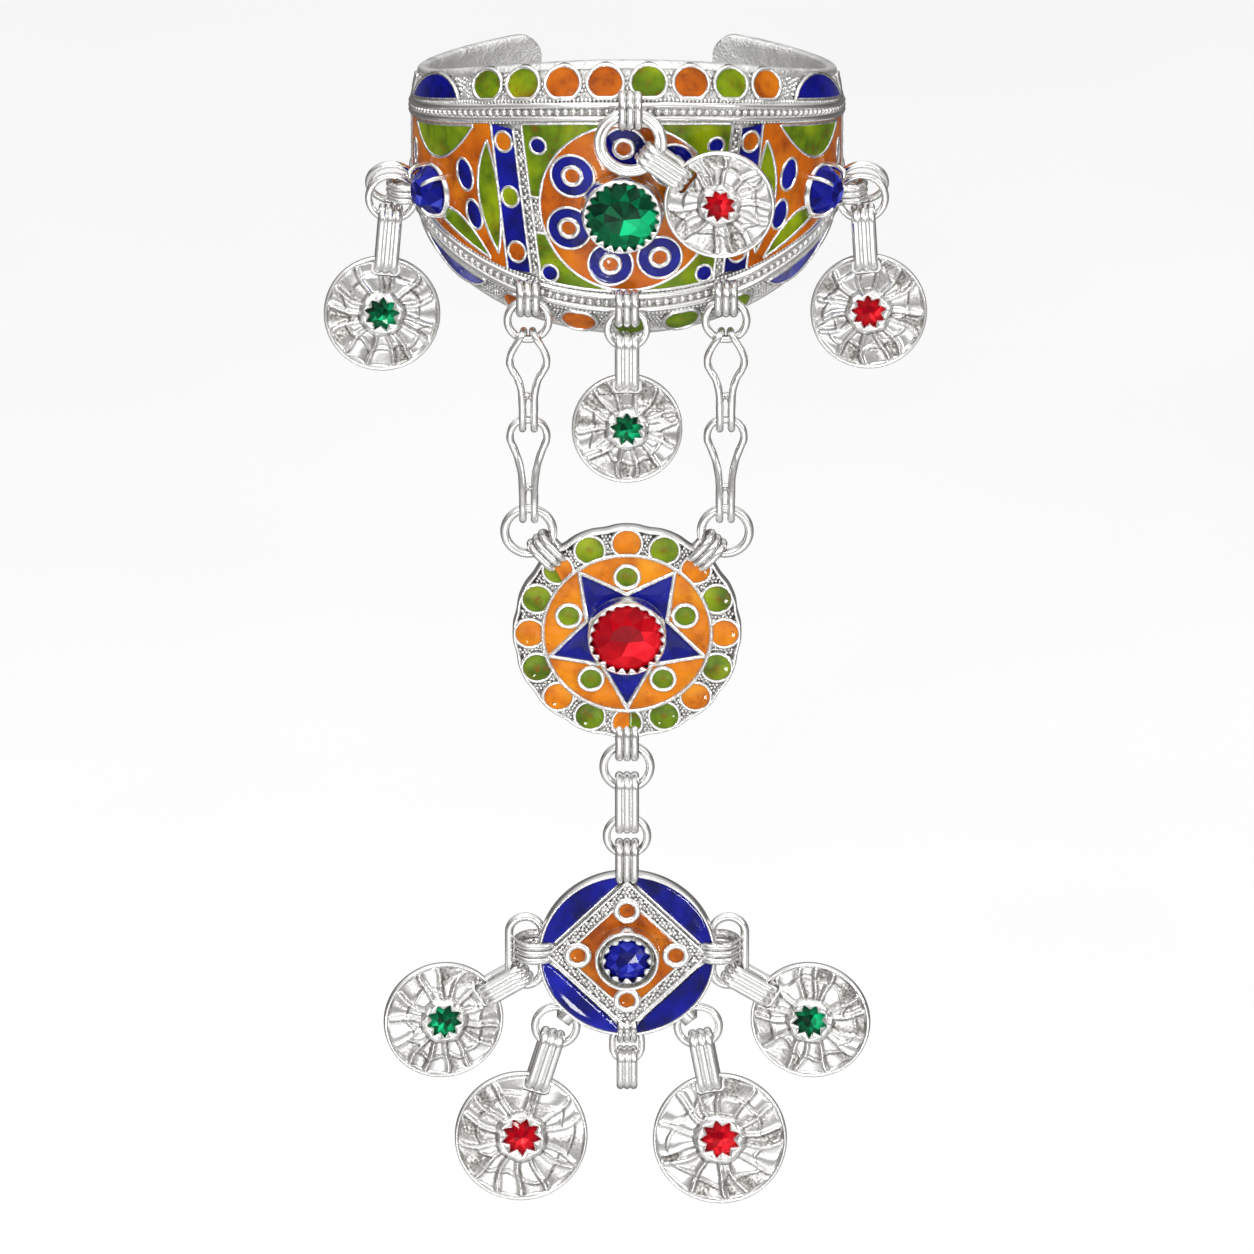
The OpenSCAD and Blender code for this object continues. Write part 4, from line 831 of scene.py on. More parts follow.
def stone_finish(name, painted_shade, full, bright):
    """Glass whose facets go from dark to bright by the painted light that the mesh keeps for
    each.
    """
    material, tree, inputs = new_material(name, Coat_Weight=0.11, Coat_Roughness=0.02, IOR=1.55,
                                          Specular_IOR_Level=0.06)
    light, veil = mesh_painted_light_and_stain(tree), grain(tree, 420.0)
    light = light + veil.between(0.3, 0.7, -0.12, 0.12)
    colour = blended(tree, light.between(0.0, 0.5), painted_shade, full)
    colour = blended(tree, light.between(0.5, 1.0), colour, bright)
    feed(tree, inputs["Base Color"], colour)
    feed(tree, inputs["Roughness"], veil.between(0.3, 0.7, 0.04, 0.09))
    bump = Socket.node(tree, "Bump", Strength=0.06, Distance=0.0001, Height=veil)
    feed(tree, inputs["Normal"], bump)
    return material


emerald = stone_finish("emerald_glass", (0.0, 0.018, 0.008), (0.0, 0.12, 0.042),
                       (0.006, 0.62, 0.24))
ruby = stone_finish("ruby_glass", (0.24, 0.0, 0.006), (0.5, 0.001, 0.007), (1.0, 0.02, 0.035))
lapis = stone_finish("lapis_glass", (0.002, 0.003, 0.09), (0.008, 0.012, 0.3),
                     (0.07, 0.09, 0.62))


def set_stone(name, finish, slot, node, place, *sizes, **more):
    stone = Form()
    cut_stone(stone, place, *sizes, **more)
    stone.made(name, finish, slot, [node], smooth=False)


centre_place = cuff_place(emerald_t, emerald_z)
cups = Form()
toothed_cup(cups, centre_place, 5.45, 23, 3.1, 0.55, 0.8)
for side in (-1, 1):
    place = cuff_place(side * lapis_t, lapis_z)
    shape = [(4.0, -0.9), (4.25, -0.2), (4.15, 0.5), (4.0, 0.95), (3.75, 1.05), (3.55, 0.8),
             (3.5, 0.2)]
    # Painted shade at the foot of the cup and inside its rim, and a trace on the claws.
    turned_form(cups, place, shape, 40, [0.6, 0.2, 0, 0, 0, 0.5, 0.9])
    for quarter in range(4):
        a = math.pi / 4 + quarter * math.pi / 2
        way = np.array([math.cos(a), math.sin(a), 0])
        claw = [way * r + [0, 0, h] for r, h in
                [(4.2, -0.3), (4.2, 0.8), (4.15, 1.7), (4.0, 2.5), (3.6, 3.2), (3.0, 3.6),
                 (2.5, 3.75)]]
        size = np.array([1.25, 1.15, 1.05, 1.0, 0.95, 0.85, 0.5])
        sweep(cups, placed(place, claw), round_section(0.46, 8, 0.8),
              place[:3, :3] @ np.array([-way[1], way[0], 0]), swell_by=size, hollow=0.05)
cups.made("cuff_settings", silver, "silver")
set_stone("cuff_emerald", emerald, "green_stone", "cuff_green_stone", centre_place,
          5.4, 2.25, 1.2, 1.1, 22, 4, table=0.52)
for side, name in ((-1, "cuff_left"), (1, "cuff_right")):
    set_stone(name + "_lapis", lapis, "blue_stone", name + "_stone",
              cuff_place(side * lapis_t, lapis_z), 3.75, 1.2, 2.5, 0.8, 14, 8)


# Bails of the cuff: three round wires laid side by side, bent to a long loop and soldered
# to it. Those of the two plates and the links that hang free have the same form.
link_bend, link_pitch, link_wire, slim_pitch, slim_wire = 1.6, 1.16, 0.68, 1.0, 0.6
chain_x, chain_y, front_y, behind_y = 14.8, -27.8, -31.4, -26.3
top_ring_z, centre_ring_z, chain_ring_z, chain_ring_r, ring_wire = 11.4, -18.6, -18.5, 3.1, 0.6
side_bail_x, side_bail_y, side_bail_z = 33.0, -8.5, -5.0


def triple_loop(form, centre, length, turn=0.0, bend=link_bend, pitch=link_pitch,
                wire=link_wire):
    """Long loop in the upright plane through the view, turned about the line of sight."""
    straight = length / 2 - bend - wire
    a = np.linspace(-math.pi / 2, math.pi / 2, 15)
    half_loop = np.stack([bend * np.sin(a), straight + bend * np.cos(a)], -1)
    sides = np.linspace(straight, -straight, 7)[1:-1]
    loop = np.concatenate([half_loop, np.stack([np.full(5, bend), sides], -1),
                           -half_loop, np.stack([np.full(5, -bend), -sides], -1)])
    c, s = math.cos(turn), math.sin(turn)
    rng = np.random.default_rng(int(abs(centre[0] * 7 + centre[2] * 3)))
    # Painted shade along the sides where the three wires meet.
    painted_seam_shade, uneven = [0.0, 0.1, 0.85, 0.85, 0.1] * 2, 0.02
    for i in (-1, 0, 1):
        x = i * pitch + rng.normal(0, uneven, len(loop))
        y, z = loop[:, 0], loop[:, 1]
        path = np.stack([c * x + s * z, y, -s * x + c * z], -1) + np.asarray(centre, float)
        sweep(form, path, round_section(wire, 10, 0.97), [c, 0, -s], True, painted_seam_shade)


def bite(ring_r, wire=ring_wire, pitch=link_pitch, link=link_wire):
    """How far from a ring's middle a triple link ends that hangs in it, wires just clear."""
    return math.sqrt((ring_r - wire) ** 2 - (pitch + link - 0.35) ** 2) - 0.12 - 2 * link


def bail_over(form, x, y, ring_z, ring_r, length):
    triple_loop(form, (x, y, ring_z + bite(ring_r) + length / 2), length)


def link_between(form, foot, head):
    triple_loop(form, (0, chain_y, (foot + head) / 2), head - foot)


bails = Form()
bail_over(bails, 0.5, front_y, top_ring_z, 4.2, 6.2)
bail_over(bails, 0, front_y + 0.2, centre_ring_z, 2.95, 5.9)
for side in (-1, 1):
    bail_over(bails, side * chain_x, chain_y, chain_ring_z, chain_ring_r, 5.9)
    triple_loop(bails, (side * side_bail_x, side_bail_y, side_bail_z), 6.6, math.pi / 2, 2.25,
                slim_pitch, slim_wire)
bails.made("cuff_bails", silver, "silver")


# Medallion: a round silver plate with a five-pointed star of wire round a ruby, a ring of
# sixteen round cells along its rim, and fine grains on the ground between the cells.
medal_r, medal_z, plate_face = 17.3, -68.9, 0.8
rim_at, rim_cell_r, circle_r, star_r, dot_at = 14.7, 2.3, 12.75, 12.3, 9.25
bail_in, chain_ring_up, middle_ring_z = 14.4, 16.18, -91.4


def hung_place(z):
    """Frame of a flat piece that hangs upright: its third axis points at the viewer."""
    return np.array(Matrix.Translation((0, chain_y, z)) @ Matrix.Rotation(math.pi / 2, 4, "X"))


def plate_seat(place):
    """What lifts flat points to the face of a plate, as cuff_seat does for the cuff."""
    def seat(line, lift):
        line = np.asarray(line, float)
        flat = np.concatenate([line, np.full((len(line), 1), plate_face + lift)], 1)
        up = np.broadcast_to(place[:3, 2], flat.shape)
        return placed(place, flat), up
    return seat


def plate_body(form, place, r, scallops=0, scallop_deep=0.0):
    """Round plate with a rounded rim, plain or scalloped, its back lightly hammered."""
    sides = 192
    edge = r - scallop_deep * (0.5 - 0.5 * np.cos(turn_steps(sides) * scallops)) ** 2
    shape = [(0.02, -0.8), (r * 0.25, -0.83), (r * 0.5, -0.78), (r * 0.75, -0.82),
             (edge - 0.4, -0.8), (edge - 0.1, -0.7), (edge, -0.45), (edge, 1.0),
             (edge - 0.06, 1.35), (edge - 0.2, 1.52), (edge - 0.38, 1.54), (edge - 0.54, 1.38),
             (edge - 0.6, 0.85), (r * 0.8, 0.8), (r * 0.5, 0.8), (0.02, 0.8)]
    # Painted shade: a little on the back, more on the rim's inner wall, and some over the face.
    turned_form(form, place, shape, sides,
                [0.1, 0, 0.1, 0, 0, 0, 0, 0, 0, 0, 0, 0.2, 0.4, 0.2, 0.2, 0.2])


place = hung_place(medal_z)
seat = plate_seat(place)
medal = Form()
plate_body(medal, place, medal_r, 16, 0.25)
rim_cells = []
for i in range(16):
    a = math.radians(90 + i * 22.5)
    cell = oval(rim_at * math.cos(a), rim_at * math.sin(a), rim_cell_r, rim_cell_r, 36)
    far = np.linalg.norm(cell, axis=1)
    rim_cells.append(cell * np.maximum(1, (circle_r - 0.1) / far)[:, None])
    lay_wire(medal, rim_cells[-1], seat=seat)
circle = oval(0, 0, circle_r, circle_r, 120)
lay_wire(medal, circle, 1.35, 1.1, seat=seat)
a = np.radians(-90 + np.arange(10) * 180 / 5)
r = np.where(np.arange(10) % 2 == 0, star_r, 6.4)
medal_star = polar(r, a)
lay_wire(medal, medal_star, 1.35, seat=seat)
medal_dots = [oval(dot_at * math.cos(a), dot_at * math.sin(a), 1.82, 1.82, 30)
              for a in (math.radians(90 + i * 72) for i in range(5))]
for dot in medal_dots:
    lay_wire(medal, dot, 1.35, 1.1, seat=seat)
for line, lift in ((circle, 0.74), (medal_star, 0.66)):
    centres, ups = seat(smooth_line(line, 0.42), lift)
    beads(medal, centres, ups, 0.24, 6, 1.0, 0.25)
rim_ring = oval(0, 0, medal_r - 0.7, medal_r - 0.7, 120)
grains(medal, rim_ring, [circle, *rim_cells], 0.56, 0.31, 0.3, 41, 0.2, seat)
on_face = np.array(Matrix.Translation((0, 0, plate_face)))
toothed_cup(medal, place @ on_face, 5.5, 22, 3.1, 0.5, 0.75)
bail_turn = math.atan2(chain_x, chain_ring_up)
bail_out = math.hypot(chain_x, chain_ring_up) - bite(3.62, 0.68)
at = (bail_in + bail_out) / 2
for side in (-1, 1):
    triple_loop(medal, (side * at * math.sin(bail_turn), chain_y,
                        medal_z + at * math.cos(bail_turn)), bail_out - bail_in,
                side * bail_turn)
link_between(medal, middle_ring_z + bite(3.55, 0.65), medal_z - bail_in - 0.5)
medal.made("medallion_plate", silver, "silver", ["medallion"])

blues, greens, oranges = Form(), Form(), Form()
low_full, two_coloured = 0.5, {2: (-0.9, -0.45), 8: (1.0, 0.0)}
for i, cell in enumerate(rim_cells):
    if i in two_coloured:
        line = smooth_line(cell, 0.04)
        off = (line - line.mean(0)) @ two_coloured[i] - 0.35
        pour(oranges, line[off < 0], (), 0.36, seat, low_full)
        pour(greens, line[off > 0], (), 0.36, seat, low_full)
    else:
        pour(greens if i % 2 else oranges, cell, (), 0.36, seat, low_full, 0.22,
             spot=0.75 * (i % 2))
pour(blues, medal_star, [oval(0, 0, 5.6, 5.6, 40)], 0.4, seat, low_full)
pour(oranges, circle, [medal_star, *medal_dots], 0.45, seat, low_full)
for dot in medal_dots:
    pour(greens, dot, (), 0.34, seat, low_full, 0.2, spot=0.55)
bright_orange = enamel_finish("bright_orange_enamel", (0.5, 0.12, 0.002), (0.72, 0.21, 0.003),
                              (0.84, 0.34, 0.008), (0.3, 0.07, 0.004), 0.3)
fired("medallion", blue=(blues, blue_enamel), green=(greens, green_enamel),
      orange=(oranges, bright_orange))
set_stone("medallion_ruby", ruby, "red_stone", "medallion_red_stone", place @ on_face,
          5.45, 2.0, 1.55, 1.4, 20, 12, table=0.48)


# Ring plate: it sits on the finger, a silver disc with a square of grained bars, blue
# enamel outside it and orange inside, and a lapis-blue stone in a tube with teeth.
plate_r, plate_z, upper_ring_z = 13.6, -122.3, -102.9
bar_mid, bar_half, plate_eye_at, plate_eye_r = 7.7, 0.9, 7.5, 1.65
shank_r, shank_thick, shank_sunk = 8.6, 1.2, 0.3
low_ring_x, low_ring_down, bottom_ring_z = 10.9, 13.1, -138.4
place = hung_place(plate_z)
seat = plate_seat(place)
plate = Form()
plate_body(plate, place, plate_r)
square = np.array([(1, 0), (0, 1), (-1, 0), (0, -1)])
bar_out, bar_in = (bar_mid + bar_half) * math.sqrt(2), (bar_mid - bar_half) * math.sqrt(2)
for corner in (bar_out, bar_in):
    lay_wire(plate, square * corner, seat=seat)
grains(plate, square * bar_out, [square * bar_in], 0.66, 0.4, 0.34, 51, 0.25, seat)
plate_eyes = [oval(x, z, plate_eye_r, plate_eye_r, 30) for x, z in square * plate_eye_at]
for eye in plate_eyes:
    lay_wire(plate, eye, 2.0, 1.2, seat=seat)
cup_place = place @ on_face
shape = [(5.05, -0.1), (4.95, 0.3), (4.9, 2.6), (4.85, 3.0), (4.7, 3.2), (4.5, 3.1), (4.4, 2.8),
         (4.38, 1.1), (4.0, 1.05), (3.6, 1.1)]
# Painted shade at the tube's foot and inside it.
turned_form(plate, cup_place, shape, 64, [0.7, 0.3, 0, 0, 0, 0, 0.2, 0.9, 0.9, 0.9])
toothed_cup(plate, cup_place, 3.55, 12, 3.0, 0.4, 0.75, 0.9)
shank = [(shank_r, -1.8), (shank_r, 1.8), (8.75, 1.8), (9.2, 1.8), (9.65, 1.8), (9.8, 1.7),
         (9.8, -1.7), (9.65, -1.8), (9.2, -1.8), (8.75, -1.8), (shank_r, -1.8)]
shank_y = chain_y + plate_face + shank_r + shank_thick - shank_sunk
turned_form(plate, np.array(Matrix.Translation((0, shank_y, plate_z))), shank, 72)
link_between(plate, plate_z + plate_r - 2.2, upper_ring_z - bite(3.1))
for side in (-1, 1):
    triple_loop(plate, (side * (plate_r + 0.3), chain_y + 0.85, plate_z + 0.4), 7.0,
                math.pi / 2, 2.5)
low_hold = bite(2.25, 0.5, slim_pitch, slim_wire)
triple_loop(plate, (0, chain_y + 1.0, bottom_ring_z + 0.6 + low_hold + 2.7), 5.4, 0, 2.2,
            slim_pitch, slim_wire)
a = np.linspace(0, math.tau, 40, endpoint=False)
strap_mid = 13.05
strap_line = np.stack([0 * a, 1.27 * np.clip(1.5 * np.cos(a), -1, 1),
                       strap_mid + 2.02 * np.clip(1.5 * np.sin(a), -1, 1)], -1)
for side in (-1, 1):
    turn = side * math.atan2(low_ring_x, low_ring_down)
    strap_place = np.array(Matrix.Translation((0, behind_y, plate_z))
                           @ Matrix.Rotation(math.pi, 4, "Y") @ Matrix.Rotation(-turn, 4, "Y"))
    strap = placed(strap_place, strap_line)
    sweep(plate, strap, [(-1.1, -0.4), (-1.1, 0.4), (1.1, 0.4), (1.1, -0.4)],
          unit(strap - placed(strap_place, [[0, 0, strap_mid]])), True)
plate.made("ring_plate_body", silver, "silver", ["ring_plate"])

blues, oranges = Form(), Form()
for quarter in range(4):
    c, s = math.cos(quarter * math.pi / 2), math.sin(quarter * math.pi / 2)
    a = np.linspace(0.02, math.pi / 2 - 0.02, 40)
    arc = polar(plate_r - 0.58, a)
    segment = arc[arc.sum(1) > bar_out + 0.1]
    turned = np.stack([c * segment[:, 0] - s * segment[:, 1],
                       s * segment[:, 0] + c * segment[:, 1]], -1)
    pour(blues, turned, (), 0.42, seat, low_full)
pour(oranges, square * bar_in, [oval(0, 0, 4.8, 4.8, 40), *plate_eyes], 0.42, seat, low_full)
for eye in plate_eyes:
    pour(oranges, eye, (), 0.32, seat, low_full, spot=0.5)
fired("ring_plate", blue=(blues, blue_enamel), orange=(oranges, orange_enamel))
set_stone("ring_plate_lapis", lapis, "blue_stone", "ring_plate_blue_stone", cup_place,
          3.55, 1.75, 1.4, 0.7, 16, 21)


# Jump rings and hanging triple links: bent from round silver wire, closed and soldered, and
# polished by wear. Their solids are true already and only take the silver finish.
for name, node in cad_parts.items():
    if "ring" in name and "ring_plate" not in name or name.startswith("link"):
        node.data.materials.clear()
        node.data.materials.append(silver)


# Keyhole links: pears of wire whose two legs are folded back round the next wire below.
# The upper one of each pair is open at its crown, and its ends hook over the chain's ring.
keyhole_wire, pear_r, leg_at = 0.56, 2.9, 0.88


def pear_side(length, front, fold):
    """Right half of a pear's middle line, from its crown to the back of the fold."""
    low = -length
    crown = [(pear_r * math.cos(math.radians(a)), front, pear_r * (math.sin(math.radians(a)) - 1))
             for a in (62, 28, -8, -38)]
    return crown + [(1.55, front, low * 0.45), (0.95, (front - fold) / 2, low * 0.62),
                    (leg_at, -fold, low + 1.6), (leg_at, -fold, low - 0.2),
                    (leg_at, -fold * 0.75, low - fold * 0.85), (leg_at, 0, low - fold),
                    (leg_at, fold * 0.75, low - fold * 0.85), (leg_at, fold, low - 0.2),
                    (leg_at, fold, low + 2.2), (leg_at * 0.6, fold, low + 2.9)]


def softened(line, closed):
    """Bends the corners of a line to smooth curves."""
    line = np.asarray(line, float)
    for _ in range(3):
        after = np.roll(line, -1, 0) if closed else line[1:]
        here = line if closed else line[:-1]
        line = np.stack([here * 0.75 + after * 0.25, here * 0.25 + after * 0.75],
                        1).reshape(-1, 3)
    return line


upper_fold, lower_fold = 2 * keyhole_wire + 0.54, keyhole_wire + 0.68 + 0.36
upper_top, upper_long, lower_top, lower_long = -21.6, 12.7, -34.3, 14.8
over = keyhole_wire + ring_wire + 0.2
for side, name in ((-1, "keyhole_left"), (1, "keyhole_right")):
    hook = [(0.66, over * 0.6, -1.1), (0.66, over, -0.1), (0.66, over * 0.6, over * 0.85),
            (0.68, -over * 0.3, over * 1.02), (0.95, -over, over * 0.75)]
    half = np.array(hook + pear_side(upper_long, -over, upper_fold)[1:])
    upper = softened(np.concatenate([half, (half * [-1, 1, 1])[::-1]]), False)
    half = np.array(pear_side(lower_long, 0, lower_fold))
    lower = softened(np.concatenate([(half * [-1, 1, 1])[::-1], half]), True)
    for which, line, top, closed in (("_upper", upper, upper_top, False),
                                     ("_lower", lower, lower_top, True)):
        link = Form()
        wave = 1 + 0.04 * np.sin(np.arange(len(line)) * 0.7 + side)
        sweep(link, line + [side * chain_x, chain_y, top], round_section(keyhole_wire, 12),
              None, closed, swell_by=wave)
        link.made(name + which + "_wire", silver, "silver", [name + which])


# Coins: thin silver discs beaten into folds that run from a raised, lumpy collar to the
# plain rim. The collar is cut to a star over a foiled glass stone, and a slot near the rim
# takes the triple link.
drops = {
    "top": (0.5, top_ring_z, front_y - 0.25, 13.8, 1.8, 8.3, 6, ruby),
    "centre": (0, centre_ring_z, front_y + 0.2, 0, -34.2, 8.3, 10, emerald),
    "left": (-35.4, -6.08, -9.16, -37, -24.4, 8.8, 10, emerald),
    "right": (35.4, -6.08, -9.16, 36.5, -24.05, 8.8, 10, ruby),
    "plate_left": (-15.5, -126, behind_y, -28.2, -133.8, 9.2, 10, emerald),
    "plate_right": (15.5, -126, behind_y, 28.2, -133.8, 9.2, 10, emerald),
    "low_left": (-10.9, -135.4, behind_y, -16.3, -153.4, 10.2, 10, ruby),
    "low_right": (10.9, -135.4, behind_y, 14.3, -153.8, 10.3, 10, ruby),
}


def coin_place(ring_x, ring_z, y, x, z, r, tilt):
    """Frame of a coin that hangs from a ring at ring_x and ring_z, tipped at its slot."""
    turn = math.atan2(ring_x - x, ring_z - z)
    slot = Matrix.Translation((0, 0, r - 2))
    return np.array(Matrix.Translation((x, y, z)) @ Matrix.Rotation(turn, 4, "Y") @ slot
                    @ Matrix.Rotation(math.radians(-tilt), 4, "X") @ slot.inverted()
                    @ Matrix.Rotation(math.pi / 2, 4, "X"))


def star_radius(a, out, within, points):
    """Distance to the edge of a star in the direction a."""
    step = math.pi / points
    k = np.floor((a - math.pi / 2) / step)
    start = math.pi / 2 + k * step
    even = (k.astype(int) % 2) == 0
    r0, r1 = np.where(even, out, within), np.where(even, within, out)
    x0, y0 = r0 * np.cos(start), r0 * np.sin(start)
    x1, y1 = r1 * np.cos(start + step), r1 * np.sin(start + step)
    return (x0 * y1 - x1 * y0) / ((y1 - y0) * np.cos(a) - (x1 - x0) * np.sin(a))


def folds(r, a, near, far, seed):
    """Height and painted shade of the beaten field: ridges run outwards, and a bent fold parts
    each hollow between two of them into an inner and an outer facet."""
    rng = np.random.default_rng(seed)
    n = 14
    at = (np.arange(n) + rng.uniform(-0.22, 0.22, n)) * math.tau / n
    bend, sway = rng.uniform(-0.15, 0.15, n), rng.uniform(0, math.tau, n)
    tall = rng.uniform(0.22, 0.42, n)
    out = np.clip((r - near) / (far - near), 0, 1)
    lines = [at[k] + bend[k] * out ** 1.5 + 0.035 * np.sin(out * 5 + sway[k]) for k in range(n)]
    height, shade = np.zeros_like(r), np.zeros_like(r)
    for k in range(n):
        left, right = lines[k], lines[(k + 1) % n]
        width = np.maximum((right - left + math.pi) % math.tau - math.pi, 0.08)
        off = (a - left + math.pi) % math.tau - math.pi
        within = np.clip(off / width, 0, 1)
        between = (off > 0) & (off <= width)
        belly = np.sin(math.pi * within) ** 0.75
        fold = out - rng.uniform(0.38, 0.68) - rng.uniform(-0.14, 0.14) * np.cos(
            math.pi * within) + rng.uniform(-0.1, 0.16) * belly
        outer = 1 / (1 + np.exp(-fold * 26))
        sag = rng.uniform(0.16, 0.4) * (1 - outer) + rng.uniform(0.3, 0.62) * outer
        lean = rng.uniform(-0.3, 0.3) * (within - 0.5) * belly
        crest = 0.2 * np.exp(-(fold * (far - near) / 0.3) ** 2) * belly ** 0.5
        height += np.where(between, (lean - sag * belly) * (0.45 + 0.55 * out) + crest, 0)
        # Painted shade: facets greyed at random, darker towards one side, a dark line along each
        # fold and beside each ridge.
        dusk = rng.choice([0.0, 0.3, 0.65]) * (1 - outer) + rng.choice([0.1, 0.6, 0.95]) * outer
        side = within if rng.random() < 0.5 else 1 - within
        shade += np.where(between, dusk * belly * (0.35 + 0.9 * side), 0)
        shade += np.where(between, 0.7 * np.exp(-((fold * (far - near) - 0.34) / 0.11) ** 2), 0)
        away = np.abs(off) * r
        height += tall[k] * np.exp(-(away / 0.3) ** 1.6)
        shade += 0.75 * np.exp(-((off * r * (1 if k % 2 else -1) - 0.42) / 0.12) ** 2)
    return height, shade


star_out, star_in, star_points = 0.285, 0.19, 9


def beaten_coin(name, place, r_coin, seed):
    """Rows of points from the star over the front to the rim and over the back again."""
    sides, collar, field_end = 288, 0.375 * r_coin, r_coin - 0.6
    collar_foot, collar_top = collar - 0.33, 1.36
    a = turn_steps(sides, 0.001)
    star = star_radius(a, star_out * r_coin, star_in * r_coin, star_points)
    lump = 0.1 * np.sin(a * 5 + seed) + 0.08 * np.sin(a * 8 + seed * 2)
    rows = []

    def row(r, h, painted_shade):
        rows.append(np.broadcast_arrays(r, h, painted_shade, a)[:3])

    # Each row's third value is painted shade: at the star's edge, round the collar's foot, just
    # inside the rim and thinly over the back.
    for u, h, painted_shade in ((0.0, 0.8, 0.5), (0.05, 1.0, 0.0), (0.18, 1.2, 0), (0.4, 1.36, 0),
                       (0.65, 1.5, 0), (0.85, 1.46, 0)):
        row(star + (collar - 0.35 - star) * u, h + lump * u, painted_shade)
    for u in np.linspace(0, 1, 38):
        r = collar_foot + (field_end - collar + 0.33) * u ** 0.92 + 0 * a
        edge = r - collar - 0.12 * np.sin(a * 6 + seed)
        rise = 1.0 / (1 + np.exp(edge / 0.08))
        height, shade = folds(r, a, collar, field_end, seed)
        calm = min(1.0, (1 - u) * 12 + 0.3)
        row(r, ((0.66 + height) * calm + 0.5 * (1 - calm)) * (1 - rise)
            + (collar_top + lump) * rise,
            np.clip(shade * (1 - rise) * calm + 0.5 * np.exp(-((edge - 0.22) / 0.12) ** 2),
                    0, 0.85))
    for inset, h, painted_shade in ((0.52, 0.5, 0.7), (0.44, 0.74, 0), (0.3, 0.8, 0), (0.1, 0.74, 0),
                           (0, 0.55, 0), (0, -0.2, 0), (0.08, -0.4, 0), (0.3, -0.46, 0)):
        row(r_coin - inset, h, painted_shade)
    for u in np.linspace(0, 1, 16):
        r = field_end - (field_end - collar) * u + 0 * a
        height, shade = folds(r, a, collar, field_end, seed)
        row(r, np.clip(-0.2 + 0.6 * height, -0.46, 0.1), 0.15)
    for u in (0.75, 0.35, 0.0):
        row(star + (collar - 0.3 - star) * u, -0.4, 0)
    r, h, painted_shade = np.array(rows, float).swapaxes(0, 1)
    form = Form()
    form.add(placed(place, polar(r, a, h)), lattice(len(rows), sides, True), painted_shade)
    coin = form.made(name + "_beaten", silver, "silver", [name])
    cutter = bpy.data.meshes.new("slot")
    corners = [(x * 2.15, r_coin - 1.95 + y * 1.05) for x, y in
               ((1, 0.6), (0.8, 1), (-0.8, 1), (-1, 0.6), (-1, -0.6), (-0.8, -1), (0.8, -1),
                (1, -0.6))]
    block = np.array([(x, y, z) for z in (-3, 4) for x, y in corners])
    n = len(corners)
    faces = [list(range(n))[::-1], list(range(n, 2 * n))]
    faces += [[i, (i + 1) % n, n + (i + 1) % n, n + i] for i in range(n)]
    cutter.from_pydata((placed(place, block) / 1000).tolist(), [], faces)
    tool = in_scene("slot", cutter)
    cut = coin.modifiers.new("slot", "BOOLEAN")
    cut.operation, cut.solver, cut.object = "DIFFERENCE", "EXACT", tool
    bpy.context.view_layer.update()
    shaped = coin.evaluated_get(bpy.context.evaluated_depsgraph_get())
    shaped = bpy.data.meshes.new_from_object(shaped)
    coin.modifiers.clear()
    coin.data = shaped
    bpy.data.objects.remove(tool)


foiled = {emerald: Form(), ruby: Form()}
for i, (name, (*where, r, tilt, gem)) in enumerate(drops.items()):
    place = coin_place(*where, r, tilt)
    beaten_coin("coin_" + name, place, r, 11 + 7 * i)
    cut_stone(foiled[gem], place, star_out * r + 0.12, 0.1, 0.75, 0.4, 18, 31 + i, table=0.4)
foiled[emerald].made("coin_emeralds", emerald, "green_stone", ["coin_green_stones"], False)
foiled[ruby].made("coin_rubies", ruby, "red_stone", ["coin_red_stones"], False)


# Studio: a plain pale floor well below the hanging bracelet, soft lamps round it, and the
# camera with a long lens, a little above it and straight in front.
paper, tree, inputs = new_material("pale_floor", Roughness=0.9, Emission_Strength=0.1)
feed(tree, inputs["Base Color"], blended(tree, grain(tree, 6.0).between(0.3, 0.7),
                                         (0.95, 0.95, 0.95), (0.98, 0.98, 0.98)))
mesh = bpy.data.meshes.new("floor")
mesh.from_pydata([(-6, -6, -0.5), (6, -6, -0.5), (6, 6, -0.5), (-6, 6, -0.5)], [], [(0, 1, 2, 3)])
mesh.materials.append(paper)
floor = in_scene("floor", mesh)
floor.visible_glossy = False


def aimed(name, data, where, aim):
    """Puts a lamp or the camera at a place in metres and turns it to another one."""
    thing = in_scene(name, data)
    thing.location = where
    thing.rotation_euler = (Vector(aim) - Vector(where)).to_track_quat("-Z", "Y").to_euler()
    return thing


def lamp(name, where, wide, tall, power):
    data = bpy.data.lights.new(name, "AREA")
    data.shape, data.size, data.size_y, data.energy = "RECTANGLE", wide, tall, power
    aimed(name, data, where, (0, -0.02, -0.07))


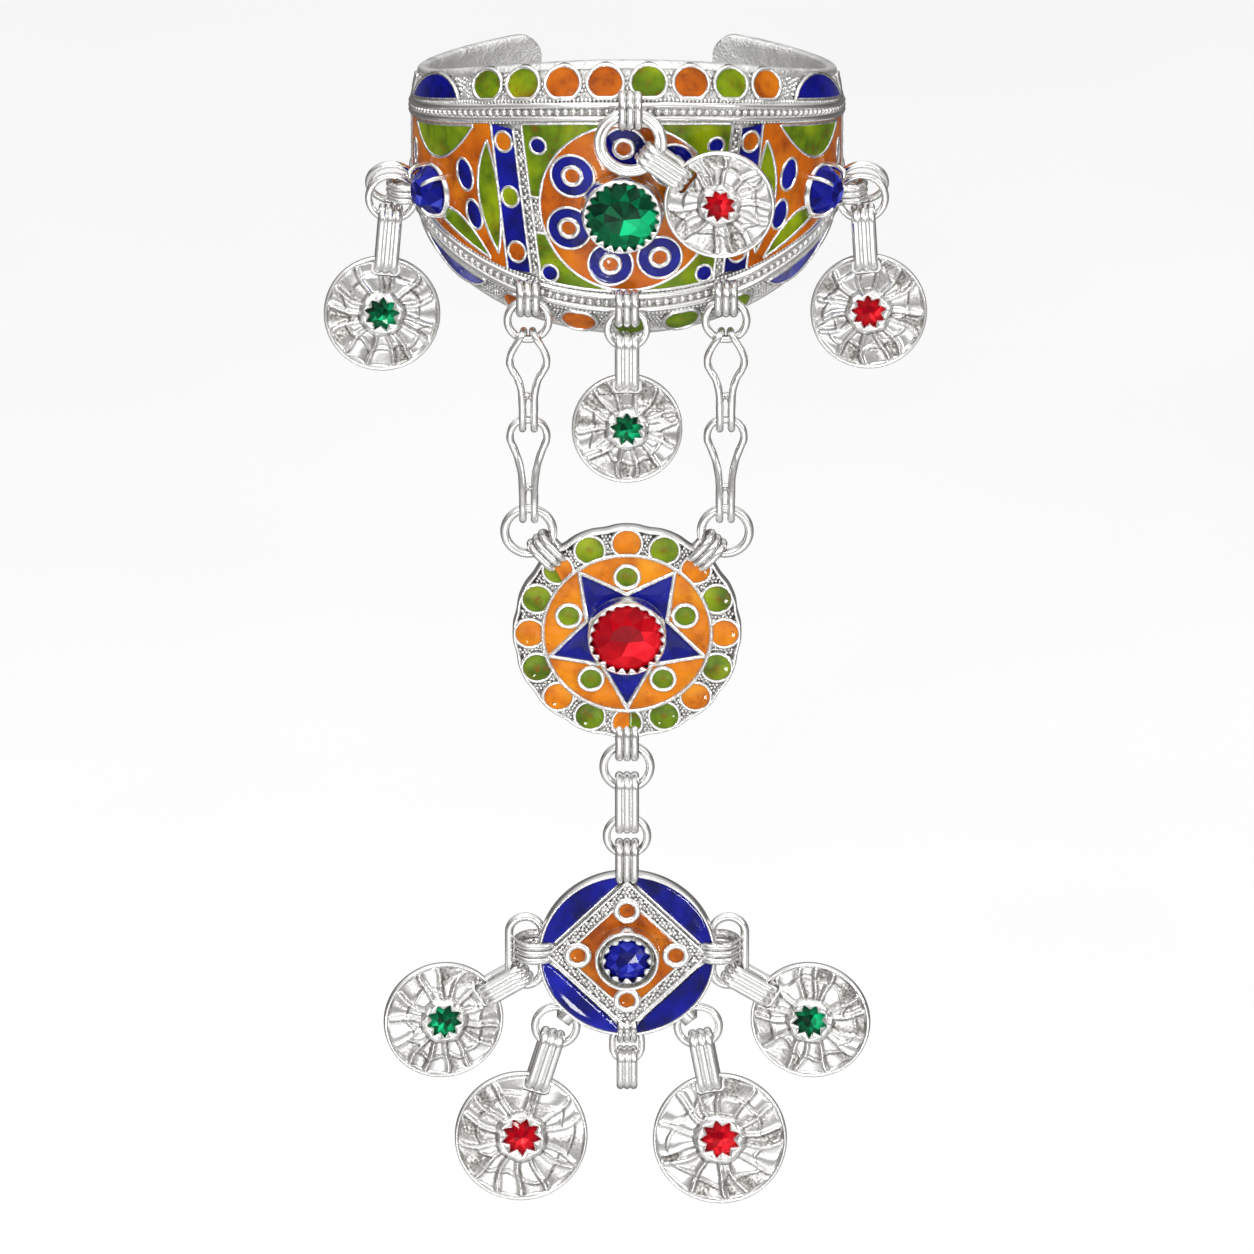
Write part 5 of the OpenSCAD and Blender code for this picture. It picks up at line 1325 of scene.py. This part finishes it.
lamp("key_lamp", (-0.45, -0.75, 0.75), 0.25, 0.25, 2.6)
lamp("fill_lamp", (0.75, -0.6, 0.25), 0.15, 0.5, 1.4)
lamp("top_lamp", (0.0, 0.15, 0.95), 0.8, 0.4, 2.6)
lamp("low_lamp", (0.0, -0.9, -0.35), 0.9, 0.15, 0.5)
for i, where in enumerate([(-0.17, -0.96, -0.33), (0.15, -0.96, -0.5), (-0.07, -0.94, -0.62),
                           (-0.1, -0.8, 0.62), (0.12, -0.85, 0.42)]):
    lamp("glint_lamp_%d" % i, where, 0.05, 0.05, 0.5)
world = bpy.data.worlds.new("studio")
bpy.context.scene.world = world
world.use_nodes = True
tree = world.node_tree
back = tree.nodes["Background"]
room = Socket.node(tree, "TexCoord", out="Generated")
sideways, inwards, upwards = (Socket.node(tree, "SeparateXYZ", None, i, Vector=room)
                              for i in range(3))
behind, aside = inwards.between(-0.15, 0.55, 0.0, 0.9), sideways.reckon("ABSOLUTE")
height = upwards.between(-1, 1)
front = Socket.node(tree, "ValToRGB", {"stops": [
    (0.0, (0.5, 0.5, 0.5)), (0.2, (0.9, 0.9, 0.9)), (0.43, (0.85, 0.85, 0.85)),
    (0.5, (0.3, 0.29, 0.28)), (0.57, (0.4, 0.4, 0.4)), (0.7, (1.0, 1.0, 1.0))]}, Fac=height)
rear = Socket.node(tree, "ValToRGB", {"stops": [
    (0.0, (0.1, 0.095, 0.09)), (0.55, (0.08, 0.075, 0.07)), (0.72, (0.7, 0.7, 0.7)),
    (1.0, (1.0, 1.0, 1.0))]}, Fac=height)
front = blended(tree, aside.between(0.5, 0.85, 0.0, 0.75), front, (0.22, 0.21, 0.2))
feed(tree, back.inputs["Color"], blended(tree, behind, front, rear))
back.inputs["Strength"].default_value = 0.98

camera, far_off, rise = bpy.data.cameras.new("camera"), 2.0, math.radians(23)
camera.sensor_width, camera.lens, camera.clip_end = 36, 380, 50
target = Vector((0, -0.0278, -0.06843))
viewpoint = target + far_off * Vector((0, -math.cos(rise), math.sin(rise)))
bpy.context.scene.camera = aimed("camera", camera, viewpoint, target)

bpy.context.scene.view_settings.view_transform = "Standard"
